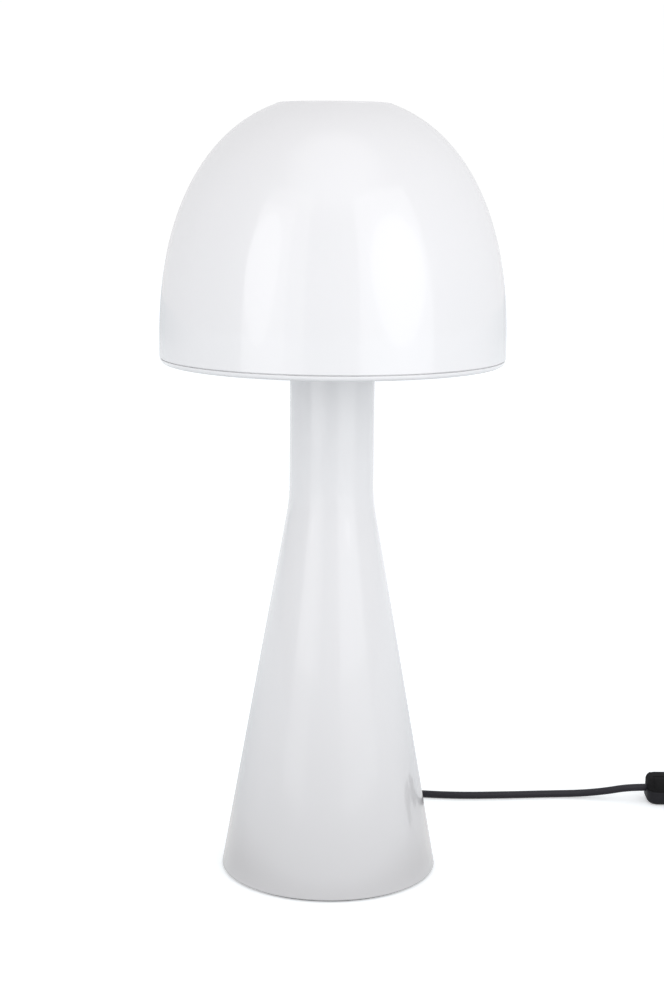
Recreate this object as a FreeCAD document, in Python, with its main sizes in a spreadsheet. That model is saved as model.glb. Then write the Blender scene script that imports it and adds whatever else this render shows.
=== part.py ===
import FreeCAD
import Part
import Sketcher
import math
import os
import re

# Mushroom table lamp: a spun dome resting on a three-armed carrier, over a conical stand with
# a straight neck, a screw-in bulb, and a mains cord with an in-line rocker switch.
# Millimetres. The origin is on the lamp's axis, on the table. +X is right, +Y is the back, +Z is up.

SIZES = {
    # stand shell
    "stand_height": 386.5,
    "base_radius": 80.4,
    "neck_radius": 30.8,
    "flare_height": 281.0,
    "flare_radius": 145.0,
    "shell_wall": 1.0,
    "shell_lift": 1.2,
    "foot_corner_radius": 3.0,
    "foot_flange_width": 6.0,
    "foot_pad_inset": 3.4,
    # base weight
    "weight_height": 12.8,
    "weight_clearance": 0.1,
    "weight_chamfer": 3.0,
    "boss_radius": 28.0,
    "boss_height": 31.0,
    "boss_web": 6.0,
    "boss_recess_radius": 22.0,
    "cord_slot_width": 14.6,
    "cord_slot_height": 14.0,
    # tie tube, nuts and washers
    "tie_radius": 5.0,
    "tie_bore_radius": 4.0,
    "tie_hole_clearance": 0.3,
    "tie_overhang": 1.5,
    "tie_grip": 8.0,
    "washer_radius": 10.5,
    "washer_thickness": 1.5,
    "nut_across_flats": 17.0,
    "lower_nut_height": 5.0,
    "upper_nut_height": 3.0,
    # shade carrier
    "carrier_thickness": 2.5,
    "carrier_spigot_depth": 4.0,
    "carrier_spigot_wall": 3.0,
    "carrier_clearance": 0.1,
    "arm_width": 14.0,
    "arm_tip_clearance": 1.6,
    "arm_rib_width": 3.0,
    "arm_rib_depth": 5.0,
    "arm_rib_setback": 14.0,
    "button_inset": 4.5,
    "button_radius": 4.5,
    "button_height": 2.0,
    "button_stem_radius": 2.0,
    "button_foot_radius": 3.2,
    "button_foot_height": 1.2,
    # shade rim ring
    "ledge_height": 5.4,
    "ledge_width": 12.5,
    "rim_wall": 1.4,
    "rim_clearance": 0.1,
    "lip_height": 4.4,
    "lip_width": 3.7,
    "lip_inset": 0.5,
    "lip_round_radius": 3.4,
    "seam_chamfer": 0.45,
    # shade dome
    "shade_radius": 125.0,
    "dome_height": 180.1,
    "dome_side_height": 10.5,
    "dome_crown_radius": 38.6,
    "dome_exponent": 2.275,
    "dome_wall": 1.0,
    "crown_edge_radius": 14.0,
    # lampholder
    "holder_radius": 19.0,
    "holder_wall": 1.8,
    "holder_foot_radius": 12.0,
    "holder_cap_height": 20.0,
    "holder_sleeve_height": 36.5,
    "holder_shoulder_width": 4.0,
    "holder_core_height": 5.0,
    "holder_thread_height": 25.0,
    "holder_thread_wall": 0.5,
    "holder_fit_clearance": 0.1,
    "contact_height": 3.0,
    "contact_width": 5.0,
    "contact_sheet": 0.5,
    "terminal_spacing": 16.0,
    "terminal_screw_radius": 1.5,
    "terminal_head_radius": 2.6,
    "terminal_head_height": 1.8,
    "terminal_screw_length": 3.0,
    # bulb
    "bulb_radius": 30.0,
    "bulb_length": 108.0,
    "bulb_wall": 1.2,
    "bulb_cap_radius": 13.1,
    "bulb_cap_height": 19.0,
    "bulb_cap_wall": 0.6,
    "bulb_running_gap": 0.3,
    "bulb_tip_radius": 4.7,
    "bulb_tip_height": 1.6,
    "bulb_insulator_height": 3.8,
    "globe_cut_height": 10.0,
    "housing_waist_radius": 15.0,
    "housing_shoulder_radius": 25.5,
    "led_board_radius": 22.0,
    "led_board_thickness": 1.6,
    # cord and gland
    "cord_radius": 3.0,
    "cord_core_radius": 1.1,
    "gland_height": 9.0,
    "gland_hole_radius": 5.0,
    "gland_flange_radius": 6.8,
    "gland_flange_thickness": 2.4,
    "gland_grip_depth": 4.0,
    "gland_length": 27.0,
    "gland_root_radius": 5.2,
    "gland_tip_radius": 4.1,
    "gland_bore_clearance": 0.05,
    "inner_bend_radius": 20.0,
    # in-line switch
    "switch_x": 303.0,
    "switch_y": 149.8,
    "switch_length": 76.0,
    "switch_width": 30.0,
    "switch_height": 22.3,
    "switch_plan_radius": 9.0,
    "switch_edge_radius": 4.0,
    "switch_crown_radius": 5.5,
    "switch_wall": 2.0,
    "switch_entry_height": 11.3,
    "switch_hole_clearance": 0.25,
    "grip_inset": 6.0,
    "grip_thickness": 2.0,
    "grip_width": 12.0,
    "window_length": 24.0,
    "window_width": 15.0,
    "rocker_side_gap": 0.4,
    "rocker_end_gap": 1.1,
    "rocker_pivot_height": 16.5,
    "rocker_dish": 1.4,
    "rocker_belly": 3.5,
    "rocker_tilt": 7.0,
    "pivot_pin_radius": 1.0,
    "pivot_running_gap": 0.05,
    "cheek_thickness": 2.0,
    "switch_screw_x": 20.0,
    "switch_screw_y": 9.3,
    "switch_screw_radius": 1.4,
    "switch_post_radius": 3.0,
    "switch_head_radius": 2.5,
    "switch_head_height": 1.6,
    # coil and tie
    "coil_x": 398.0,
    "coil_inner_radius": 22.0,
    "coil_pitch": 6.5,
    "tie_band_thickness": 0.8,
    "tie_band_width": 10.0,
    "tie_band_gap": 0.3,
    "tie_band_slack": 1.0,
    # plug
    "plug_x": 342.0,
    "plug_relief_length": 18.0,
    "plug_relief_root_radius": 5.4,
    "plug_relief_tip_radius": 4.0,
    "plug_length": 33.0,
    "plug_width": 35.3,
    "plug_face_width": 26.1,
    "plug_rear_width": 13.0,
    "plug_thickness": 13.7,
    "plug_edge_radius": 2.0,
    "pin_spacing": 18.6,
    "pin_length": 19.0,
    "pin_radius": 2.0,
    "pin_sleeve_length": 10.0,
    "pin_sleeve_wall": 0.45,
}

# Worked out from the sizes above, each from values that stand before it.
LEVELS = {
    "cone_slope": "(base_radius - neck_radius) / (flare_height - shell_lift)",
    "wall_across": "shell_wall * sqrt(1 + cone_slope ^ 2)",
    "weight_bottom": "shell_lift + shell_wall",
    "weight_top": "weight_bottom + weight_height",
    "weight_foot_radius": "base_radius - cone_slope * shell_wall - wall_across - weight_clearance",
    "weight_waist_radius": "weight_foot_radius - cone_slope * weight_chamfer",
    "weight_top_radius": "weight_foot_radius - cone_slope * weight_height",
    "boss_top": "weight_top + boss_height",
    "web_bottom": "boss_top - boss_web",
    "lower_washer_bottom": "web_bottom - washer_thickness",
    "lower_nut_bottom": "lower_washer_bottom - lower_nut_height",
    "tie_bottom": "lower_nut_bottom - tie_overhang",
    "tie_hole_radius": "tie_radius + tie_hole_clearance",
    "carrier_top": "stand_height + carrier_thickness",
    "upper_washer_top": "carrier_top + washer_thickness",
    "holder_bottom": "upper_washer_top + upper_nut_height",
    "tie_top": "holder_bottom + tie_grip",
    "inner_lead_top": "tie_top + tie_overhang",
    "ledge_bottom": "carrier_top + button_height",
    "ledge_top": "ledge_bottom + rim_wall",
    "seam_level": "ledge_bottom - ledge_height",
    "spigot_radius": "shade_radius - dome_wall - rim_clearance",
    "lip_radius": "shade_radius - lip_inset",
    "lip_inner_radius": "lip_radius - lip_width",
    "lip_bottom": "seam_level - lip_height",
    "arm_reach": "lip_inner_radius - arm_tip_clearance",
    "button_circle_radius": "arm_reach - button_inset",
    "spring_level": "seam_level + dome_side_height",
    "dome_top": "seam_level + dome_height",
    "holder_cap_top": "holder_bottom + holder_cap_height",
    "holder_top": "holder_cap_top + holder_sleeve_height",
    "holder_bore_radius": "holder_radius - holder_wall",
    "core_top": "holder_cap_top + holder_core_height",
    "thread_bore_radius": "bulb_cap_radius + bulb_running_gap",
    "bulb_bottom": "core_top + contact_height + holder_fit_clearance",
    "insulator_bottom": "bulb_bottom + bulb_tip_height",
    "cap_bottom": "insulator_bottom + bulb_insulator_height",
    "housing_bottom": "cap_bottom + bulb_cap_height",
    "bulb_top": "bulb_bottom + bulb_length",
    "globe_centre": "bulb_top - bulb_radius",
    "globe_bottom": "globe_centre - globe_cut_height",
    "globe_edge_radius": "sqrt(bulb_radius ^ 2 - globe_cut_height ^ 2)",
    "gland_y": "base_radius - cone_slope * (gland_height - shell_lift)",
    "gland_tip": "gland_y + gland_length",
    "gland_bore_radius": "cord_radius + gland_bore_clearance",
    "switch_half": "switch_length / 2",
    "switch_split": "switch_entry_height",
    "grip_face": "switch_half - grip_inset",
    "cover_top_thickness": "switch_wall",
    "cheek_outer": "window_width / 2 + cheek_thickness",
    "coil_low": "cord_radius + tie_band_thickness",
    "coil_high": "coil_low + coil_pitch",
    "plug_axis_height": "plug_thickness / 2",
    "plug_face_x": "plug_x - plug_length",
}

ARM_COUNT = 3
FIRST_ARM_ANGLE = 90.0

# Half turns of the coil, from its outside in on the lower layer and out again on the upper one.
COIL_QUARTERS = 26
COIL_CLIMB_START = 12
COIL_CLIMB_END = 14

doc = FreeCAD.newDocument("MushroomLamp")
nodes = []


def qualified(expression):
    """The expression with each alias led by the name of its sheet."""
    def lead(match):
        word = match.group(0)
        if word in SIZES:
            return "Sizes." + word
        if word in LEVELS:
            return "Levels." + word
        return word
    return re.sub(r"[a-z][a-z_]*", lead, expression)


def fill_sheet(name, cells):
    sheet = doc.addObject("Spreadsheet::Sheet", name)
    for row, (alias, content) in enumerate(cells, start=1):
        sheet.set("A%d" % row, alias)
        sheet.set("B%d" % row, content)
        sheet.setAlias("B%d" % row, alias)
    return sheet


sizes_sheet = fill_sheet("Sizes", [(alias, str(value)) for alias, value in SIZES.items()])
doc.recompute()
levels_sheet = fill_sheet("Levels", [(alias, "=" + qualified(text)) for alias, text in LEVELS.items()])
doc.recompute()


def value(alias):
    """A size or a level in millimetres, read from its sheet."""
    sheet = sizes_sheet if alias in SIZES else levels_sheet
    return float(sheet.get(alias))


def bind(thing, **expressions):
    for name, expression in expressions.items():
        thing.setExpression(name.replace("__", "."), qualified(expression))
    return thing


def place(thing, x="0", y="0", z="0", axis=None, angle=0.0):
    """Turns a thing about its own origin and binds where that origin stands."""
    if axis is not None:
        thing.Placement = FreeCAD.Placement(FreeCAD.Vector(), FreeCAD.Rotation(FreeCAD.Vector(*axis), angle))
    bind(thing, Placement__Base__x=x, Placement__Base__y=y, Placement__Base__z=z)
    return thing


def keep(label, thing):
    """Names a finished sub-part and lists it for writing."""
    thing.Label = label
    nodes.append(thing)
    return thing


def plane(body, role):
    return next(part for part in body.Origin.OriginFeatures if part.Role == role)


def pin_coordinate(sketch, kind, line, expression):
    """Holds a line's first point at a signed distance from the sketch's origin."""
    if expression == "0":
        axis = -2 if kind == "DistanceX" else -1
        sketch.addConstraint(Sketcher.Constraint("PointOnObject", line, 1, axis))
        return
    if expression.startswith("-"):
        index = sketch.addConstraint(Sketcher.Constraint(kind, line, 1, -1, 1, 1.0))
        sketch.setExpression("Constraints[%d]" % index, qualified(expression[1:].strip()))
        return
    index = sketch.addConstraint(Sketcher.Constraint(kind, -1, 1, line, 1, 1.0))
    sketch.setExpression("Constraints[%d]" % index, qualified(expression))


def outline_sketch(body, name, corners, role="XZ_Plane"):
    """A closed outline of straight lines whose corners are each bound to two expressions."""
    sketch = body.newObject("Sketcher::SketchObject", name)
    sketch.AttachmentSupport = [(plane(body, role), "")]
    sketch.MapMode = "FlatFace"
    count = len(corners)
    for i in range(count):
        start, end = 2 * math.pi * i / count, 2 * math.pi * (i + 1) / count
        first = FreeCAD.Vector(20 + 10 * math.cos(start), 20 + 10 * math.sin(start), 0)
        last = FreeCAD.Vector(20 + 10 * math.cos(end), 20 + 10 * math.sin(end), 0)
        sketch.addGeometry(Part.LineSegment(first, last), False)
    for i in range(count):
        sketch.addConstraint(Sketcher.Constraint("Coincident", i, 2, (i + 1) % count, 1))
    for i, (across, up) in enumerate(corners):
        pin_coordinate(sketch, "DistanceX", i, across)
        pin_coordinate(sketch, "DistanceY", i, up)
    return sketch


def lathe(name, corners, axis_x=None, turn=0.0):
    """A body turned about the Z axis, or about an upright line at axis_x."""
    body = doc.addObject("PartDesign::Body", name)
    sketch = outline_sketch(body, name + "_outline", corners)
    reference = "V_Axis"
    if axis_x is not None:
        line = sketch.addGeometry(Part.LineSegment(FreeCAD.Vector(10, 0, 0), FreeCAD.Vector(10, 5, 0)), True)
        sketch.addConstraint(Sketcher.Constraint("Vertical", line))
        sketch.addConstraint(Sketcher.Constraint("PointOnObject", line, 1, -1))
        index = sketch.addConstraint(Sketcher.Constraint("DistanceX", -1, 1, line, 1, 10.0))
        sketch.setExpression("Constraints[%d]" % index, qualified(axis_x))
        sketch.addConstraint(Sketcher.Constraint("DistanceY", line, 1, line, 2, 5.0))
        reference = "Axis0"
    turned = body.newObject("PartDesign::Revolution", name + "_turned")
    turned.Profile = sketch
    turned.ReferenceAxis = (sketch, [reference])
    turned.Angle = 360.0
    sketch.Visibility = False
    if turn:
        body.Placement = FreeCAD.Placement(FreeCAD.Vector(), FreeCAD.Rotation(FreeCAD.Vector(0, 0, 1), turn))
    return body


def slab(name, corners, depth, role="XZ_Plane", offset=None, midplane=True):
    """A body padded from a straight-sided outline."""
    body = doc.addObject("PartDesign::Body", name)
    sketch = outline_sketch(body, name + "_outline", corners, role)
    if offset is not None:
        bind(sketch, AttachmentOffset__Base__z=offset)
    pad = body.newObject("PartDesign::Pad", name + "_pad")
    pad.Profile = sketch
    pad.Midplane = midplane
    bind(pad, Length=depth)
    return body


def rounded_slab(name, length, width, radius, height, bottom="0"):
    """A body padded up from a rectangle about the Z axis, with its upright corners rounded."""
    body = slab(name, [
        ("-(%s) / 2" % length, "-(%s) / 2" % width),
        ("(%s) / 2" % length, "-(%s) / 2" % width),
        ("(%s) / 2" % length, "(%s) / 2" % width),
        ("-(%s) / 2" % length, "(%s) / 2" % width),
    ], height, "XY_Plane", bottom, midplane=False)
    return round_edges(body, radius, upright)


def round_edges(body, radius, chosen):
    """Fillets the edges of a body that the test picks."""
    doc.recompute()
    tip = body.Tip
    names = ["Edge%d" % i for i, edge in enumerate(tip.Shape.Edges, start=1) if chosen(edge)]
    if not names:
        raise RuntimeError("no edge to round on " + body.Name)
    fillet = body.newObject("PartDesign::Fillet", body.Name + "_round")
    fillet.Base = (tip, names)
    bind(fillet, Radius=radius)
    return body


def near(first, second):
    return abs(first - second) < 0.02


def upright(edge):
    """A test for an edge that runs straight up."""
    box = edge.BoundBox
    return near(box.XMin, box.XMax) and near(box.YMin, box.YMax)


def ring_at(radius, height):
    """A test for a round edge about the Z axis of this radius at this height."""
    def chosen(edge):
        curve = edge.Curve
        if not isinstance(curve, Part.Circle):
            return False
        return near(curve.Radius, radius) and near(curve.Center.z, height)
    return chosen


def level_at(height):
    """A test for an edge that lies flat at this height."""
    def chosen(edge):
        return near(edge.BoundBox.ZMin, height) and near(edge.BoundBox.ZMax, height)
    return chosen


def cylinder(name, radius, height, x="0", y="0", z="0", axis=None, angle=0.0):
    thing = doc.addObject("Part::Cylinder", name)
    bind(thing, Radius=radius, Height=height)
    return place(thing, x, y, z, axis, angle)


def block(name, length, width, height, x="0", y="0", z="0"):
    thing = doc.addObject("Part::Box", name)
    bind(thing, Length=length, Width=width, Height=height)
    return place(thing, x, y, z)


def cut(name, base, *tools):
    result = base
    for number, tool in enumerate(tools):
        step = doc.addObject("Part::Cut", "%s_cut_%d" % (name, number))
        step.Base = result
        step.Tool = tool
        result = step
    return result


def fuse(name, *parts):
    joined = doc.addObject("Part::MultiFuse", name + "_joined")
    joined.Shapes = list(parts)
    joined.Refine = True
    return joined


def group(name, parts):
    """Separate solids that share one node."""
    together = doc.addObject("Part::Compound", name + "_group")
    together.Links = list(parts)
    return together


def solid_feature(name, shape):
    feature = doc.addObject("Part::Feature", name + "_solid")
    feature.Shape = shape
    return feature


ALONG_Y = {"axis": (1, 0, 0), "angle": -90.0}
ALONG_X = {"axis": (0, 1, 0), "angle": 90.0}
ALONG_MINUS_X = {"axis": (0, 1, 0), "angle": -90.0}


def build_stand_shell():
    """A conical foot and a straight neck in one sheet, with its foot edge rolled in."""
    body = lathe("StandShell", [
        ("neck_radius", "stand_height"),
        ("neck_radius - shell_wall", "stand_height"),
        ("neck_radius - shell_wall", "flare_height"),
        ("base_radius - wall_across - cone_slope * shell_wall", "weight_bottom"),
        ("base_radius - shell_wall - foot_flange_width", "weight_bottom"),
        ("base_radius - shell_wall - foot_flange_width", "shell_lift"),
        ("base_radius", "shell_lift"),
        ("neck_radius", "flare_height"),
    ])
    flare = value("flare_height")
    lift = value("shell_lift")
    foot_inside = value("base_radius") - value("wall_across") - value("cone_slope") * value("shell_wall")
    round_edges(body, "flare_radius", ring_at(value("neck_radius"), flare))
    neck_inside = value("neck_radius") - value("shell_wall")
    round_edges(body, "flare_radius + shell_wall", ring_at(neck_inside, flare))
    round_edges(body, "foot_corner_radius", ring_at(value("base_radius"), lift))
    round_edges(body, "foot_corner_radius - shell_wall", ring_at(foot_inside, value("weight_bottom")))
    hole = cylinder("GlandHole", "gland_hole_radius", "base_radius", y="boss_radius", z="gland_height", **ALONG_Y)
    return keep("stand_shell", cut("StandShell", body, hole))


def build_base_weight():
    """A cast disc that seats in the cone, with a boss for the tie tube and a slot for the cord."""
    body = lathe("BaseWeight", [
        ("boss_recess_radius", "weight_bottom"),
        ("weight_foot_radius - weight_chamfer", "weight_bottom"),
        ("weight_waist_radius", "weight_bottom + weight_chamfer"),
        ("weight_top_radius", "weight_top"),
        ("boss_radius", "weight_top"),
        ("boss_radius", "boss_top"),
        ("tie_hole_radius", "boss_top"),
        ("tie_hole_radius", "web_bottom"),
        ("boss_recess_radius", "web_bottom"),
    ])
    slot = block("CordSlot", "cord_slot_width", "base_radius", "cord_slot_height",
                 x="-cord_slot_width / 2", z="weight_bottom - 0.001")
    return keep("base_weight", cut("BaseWeight", body, slot))


def build_foot_pad():
    pad = cylinder("FootPad", "base_radius - foot_pad_inset", "shell_lift")
    return keep("foot_pad", pad)


def hexagon_nut(name, height, bottom):
    """A hexagon nut about the tie tube's axis."""
    prism = doc.addObject("Part::Prism", name)
    prism.Polygon = 6
    bind(prism, Circumradius="nut_across_flats / sqrt(3)", Height=height)
    place(prism, z=bottom)
    bore = cylinder(name + "Bore", "tie_radius", "3 * " + height, z="%s - %s" % (bottom, height))
    return cut(name, prism, bore)


def build_tie():
    """The threaded tube with a washer and a nut at each end."""
    keep("tie_tube", lathe("TieTube", [
        ("tie_bore_radius", "tie_bottom"),
        ("tie_radius", "tie_bottom"),
        ("tie_radius", "tie_top"),
        ("tie_bore_radius", "tie_top"),
    ]))
    for label, name, bottom in (("lower_washer", "LowerWasher", "lower_washer_bottom"),
                                ("upper_washer", "UpperWasher", "carrier_top")):
        keep(label, lathe(name, [
            ("tie_hole_radius", bottom),
            ("washer_radius", bottom),
            ("washer_radius", bottom + " + washer_thickness"),
            ("tie_hole_radius", bottom + " + washer_thickness"),
        ]))
    keep("lower_nut", hexagon_nut("LowerNut", "lower_nut_height", "lower_nut_bottom"))
    keep("upper_nut", hexagon_nut("UpperNut", "upper_nut_height", "upper_washer_top"))


def build_shade_carrier():
    """A cap on the neck with three ribbed arms, drilled for the rubber buttons."""
    hub = lathe("CarrierHub", [
        ("tie_hole_radius", "stand_height"),
        ("neck_radius - shell_wall - carrier_clearance - carrier_spigot_wall", "stand_height"),
        ("neck_radius - shell_wall - carrier_clearance - carrier_spigot_wall",
         "stand_height - carrier_spigot_depth"),
        ("neck_radius - shell_wall - carrier_clearance", "stand_height - carrier_spigot_depth"),
        ("neck_radius - shell_wall - carrier_clearance", "stand_height"),
        ("neck_radius", "stand_height"),
        ("neck_radius", "carrier_top"),
        ("tie_hole_radius", "carrier_top"),
    ])
    parts = [hub]
    holes = []
    for number in range(ARM_COUNT):
        turn = FreeCAD.Rotation(FreeCAD.Vector(0, 0, 1), FIRST_ARM_ANGLE + number * 360.0 / ARM_COUNT)
        arm = slab("CarrierArm%d" % number, [
            ("neck_radius / 2", "stand_height"),
            ("arm_reach", "stand_height"),
            ("arm_reach", "carrier_top"),
            ("neck_radius / 2", "carrier_top"),
        ], "arm_width")
        rib = slab("CarrierRib%d" % number, [
            ("neck_radius + shell_wall", "stand_height"),
            ("neck_radius + shell_wall", "stand_height - arm_rib_depth"),
            ("button_circle_radius - 2 * arm_rib_setback", "stand_height - arm_rib_depth"),
            ("button_circle_radius - arm_rib_setback", "stand_height"),
        ], "arm_rib_width")
        hole = lathe("ButtonHole%d" % number, [
            ("button_circle_radius", "stand_height - carrier_thickness"),
            ("button_circle_radius + button_stem_radius", "stand_height - carrier_thickness"),
            ("button_circle_radius + button_stem_radius", "carrier_top + carrier_thickness"),
            ("button_circle_radius", "carrier_top + carrier_thickness"),
        ], axis_x="button_circle_radius")
        for thing in (arm, rib, hole):
            thing.Placement = FreeCAD.Placement(FreeCAD.Vector(), turn)
        parts += [arm, rib]
        holes.append(hole)
    return keep("shade_carrier", cut("ShadeCarrier", fuse("ShadeCarrier", *parts), *holes))


def build_carrier_buttons():
    """Rubber buttons through the arms' ends, with a head above and a foot below."""
    buttons = []
    for number in range(ARM_COUNT):
        buttons.append(lathe("CarrierButton%d" % number, [
            ("button_circle_radius", "stand_height - button_foot_height"),
            ("button_circle_radius + button_foot_radius", "stand_height - button_foot_height"),
            ("button_circle_radius + button_foot_radius", "stand_height"),
            ("button_circle_radius + button_stem_radius", "stand_height"),
            ("button_circle_radius + button_stem_radius", "carrier_top"),
            ("button_circle_radius + button_radius", "carrier_top"),
            ("button_circle_radius + button_radius", "ledge_bottom"),
            ("button_circle_radius", "ledge_bottom"),
        ], axis_x="button_circle_radius", turn=FIRST_ARM_ANGLE + number * 360.0 / ARM_COUNT))
    return keep("carrier_buttons", group("CarrierButtons", buttons))


def build_shade_rim_ring():
    """The rolled lip, the spigot that the dome sits over, and the ledge that rests on the buttons."""
    body = lathe("RimRing", [
        ("lip_inner_radius", "lip_bottom"),
        ("lip_radius", "lip_bottom"),
        ("lip_radius", "seam_level - seam_chamfer"),
        ("lip_radius - seam_chamfer", "seam_level"),
        ("spigot_radius", "seam_level"),
        ("spigot_radius", "ledge_top"),
        ("spigot_radius - ledge_width", "ledge_top"),
        ("spigot_radius - ledge_width", "ledge_bottom"),
        ("spigot_radius - rim_wall", "ledge_bottom"),
        ("spigot_radius - rim_wall", "seam_level"),
        ("lip_inner_radius", "seam_level"),
    ])
    round_edges(body, "lip_round_radius", ring_at(value("lip_radius"), value("lip_bottom")))
    return keep("shade_rim_ring", body)


def dome_solid(radius, top, exponent, spring, seam, crown_radius, crown_height):
    """A solid of revolution under a superellipse that passes through the crown's edge."""
    reach = (1 - (crown_radius / radius) ** exponent) ** (1 / exponent)
    rise = crown_height / reach
    steps = 12
    last_angle = math.atan2((top - spring) / rise, crown_radius / radius)
    curve_points = []
    for i in range(steps + 1):
        angle = last_angle * i / steps
        scale = (math.cos(angle) ** exponent + math.sin(angle) ** exponent) ** (-1 / exponent)
        across = radius * scale * math.cos(angle)
        up = spring + rise * scale * math.sin(angle)
        curve_points.append(FreeCAD.Vector(across, 0, up))
    curve_points[-1].z = top
    curve = Part.BSplineCurve()
    steep = -(rise / radius) ** exponent * (curve_points[-1].x / (top - spring)) ** (exponent - 1)
    curve.interpolate(Points=curve_points, InitialTangent=FreeCAD.Vector(0, 0, 1),
                      FinalTangent=FreeCAD.Vector(-1, 0, -steep))
    foot = FreeCAD.Vector(radius, 0, seam)
    foot_axis = FreeCAD.Vector(0, 0, seam)
    top_axis = FreeCAD.Vector(0, 0, top)
    wire = Part.Wire([
        Part.LineSegment(foot_axis, foot).toShape(),
        Part.LineSegment(foot, curve_points[0]).toShape(),
        curve.toShape(),
        Part.LineSegment(curve_points[-1], top_axis).toShape(),
        Part.LineSegment(top_axis, foot_axis).toShape(),
    ])
    return Part.Face(wire).revolve(FreeCAD.Vector(), FreeCAD.Vector(0, 0, 1), 360)


def build_shade_dome():
    """A spun dome: a short upright side, a superellipse shoulder and a flat crown with a soft edge."""
    wall = value("dome_wall")
    radius = value("shade_radius")
    exponent = value("dome_exponent")
    spring = value("spring_level")
    seam = value("seam_level")
    top = value("dome_top")
    crown = value("dome_crown_radius")
    crown_height = top - spring
    soft = value("crown_edge_radius")
    outer = dome_solid(radius, top, exponent, spring, seam, crown, crown_height)
    inner = dome_solid(radius - wall, top - wall, exponent, spring, seam, crown - wall, crown_height - wall)
    crown_edge = [edge for edge in outer.Edges if level_at(top)(edge) and edge.Closed]
    outer = outer.makeFillet(soft, crown_edge)
    inner_edge = [edge for edge in inner.Edges if level_at(top - wall)(edge) and edge.Closed]
    inner = inner.makeFillet(soft - wall, inner_edge)
    foot_edge = [edge for edge in outer.Edges if level_at(seam)(edge) and edge.Closed]
    outer = outer.makeChamfer(value("seam_chamfer"), foot_edge)
    return keep("shade_dome", solid_feature("ShadeDome", outer.cut(inner)))


def build_lampholder():
    """Cap, sleeve, insulating core, threaded contact shell, centre contact and terminal screws."""
    cap = lathe("HolderCap", [
        ("tie_radius + holder_fit_clearance", "holder_bottom"),
        ("holder_foot_radius", "holder_bottom"),
        ("holder_radius", "holder_bottom + holder_cap_height / 2"),
        ("holder_radius", "holder_cap_top"),
        ("holder_radius - holder_shoulder_width", "holder_cap_top"),
        ("holder_radius - holder_shoulder_width", "holder_cap_top - holder_wall"),
        ("holder_bore_radius", "holder_cap_top - holder_wall"),
        ("holder_bore_radius", "holder_bottom + holder_cap_height / 2"),
        ("holder_foot_radius - holder_wall", "holder_bottom + holder_wall"),
        ("tie_radius + holder_fit_clearance", "holder_bottom + holder_wall"),
    ])
    keep("holder_cap", cap)
    keep("holder_sleeve", lathe("HolderSleeve", [
        ("holder_bore_radius", "holder_cap_top"),
        ("holder_radius", "holder_cap_top"),
        ("holder_radius", "holder_top"),
        ("holder_bore_radius", "holder_top"),
    ]))
    core = lathe("HolderCore", [
        ("0", "holder_cap_top"),
        ("holder_bore_radius - holder_fit_clearance", "holder_cap_top"),
        ("holder_bore_radius - holder_fit_clearance", "core_top"),
        ("0", "core_top"),
    ])
    keep("holder_core", core)
    keep("holder_thread", lathe("HolderThread", [
        ("thread_bore_radius", "core_top"),
        ("thread_bore_radius + holder_thread_wall", "core_top"),
        ("thread_bore_radius + holder_thread_wall", "core_top + holder_thread_height"),
        ("thread_bore_radius", "core_top + holder_thread_height"),
    ]))
    keep("centre_contact", slab("CentreContact", [
        ("-contact_width", "core_top"),
        ("0", "core_top"),
        ("contact_width", "core_top + contact_height - contact_sheet"),
        ("contact_width", "core_top + contact_height"),
        ("contact_width / 2", "core_top + contact_height"),
        ("-contact_sheet", "core_top + contact_sheet"),
        ("-contact_width", "core_top + contact_sheet"),
    ], "contact_width"))
    screws = []
    for number, side in enumerate(("", "-")):
        x = side + "terminal_spacing / 2"
        head = cylinder("TerminalHead%d" % number, "terminal_head_radius", "terminal_head_height",
                        x=x, z="holder_cap_top - terminal_screw_length - terminal_head_height")
        shank = cylinder("TerminalShank%d" % number, "terminal_screw_radius", "terminal_screw_length",
                         x=x, z="holder_cap_top - terminal_screw_length")
        screws.append(fuse("TerminalScrew%d" % number, head, shank))
    keep("terminal_screws", group("TerminalScrews", screws))


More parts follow.
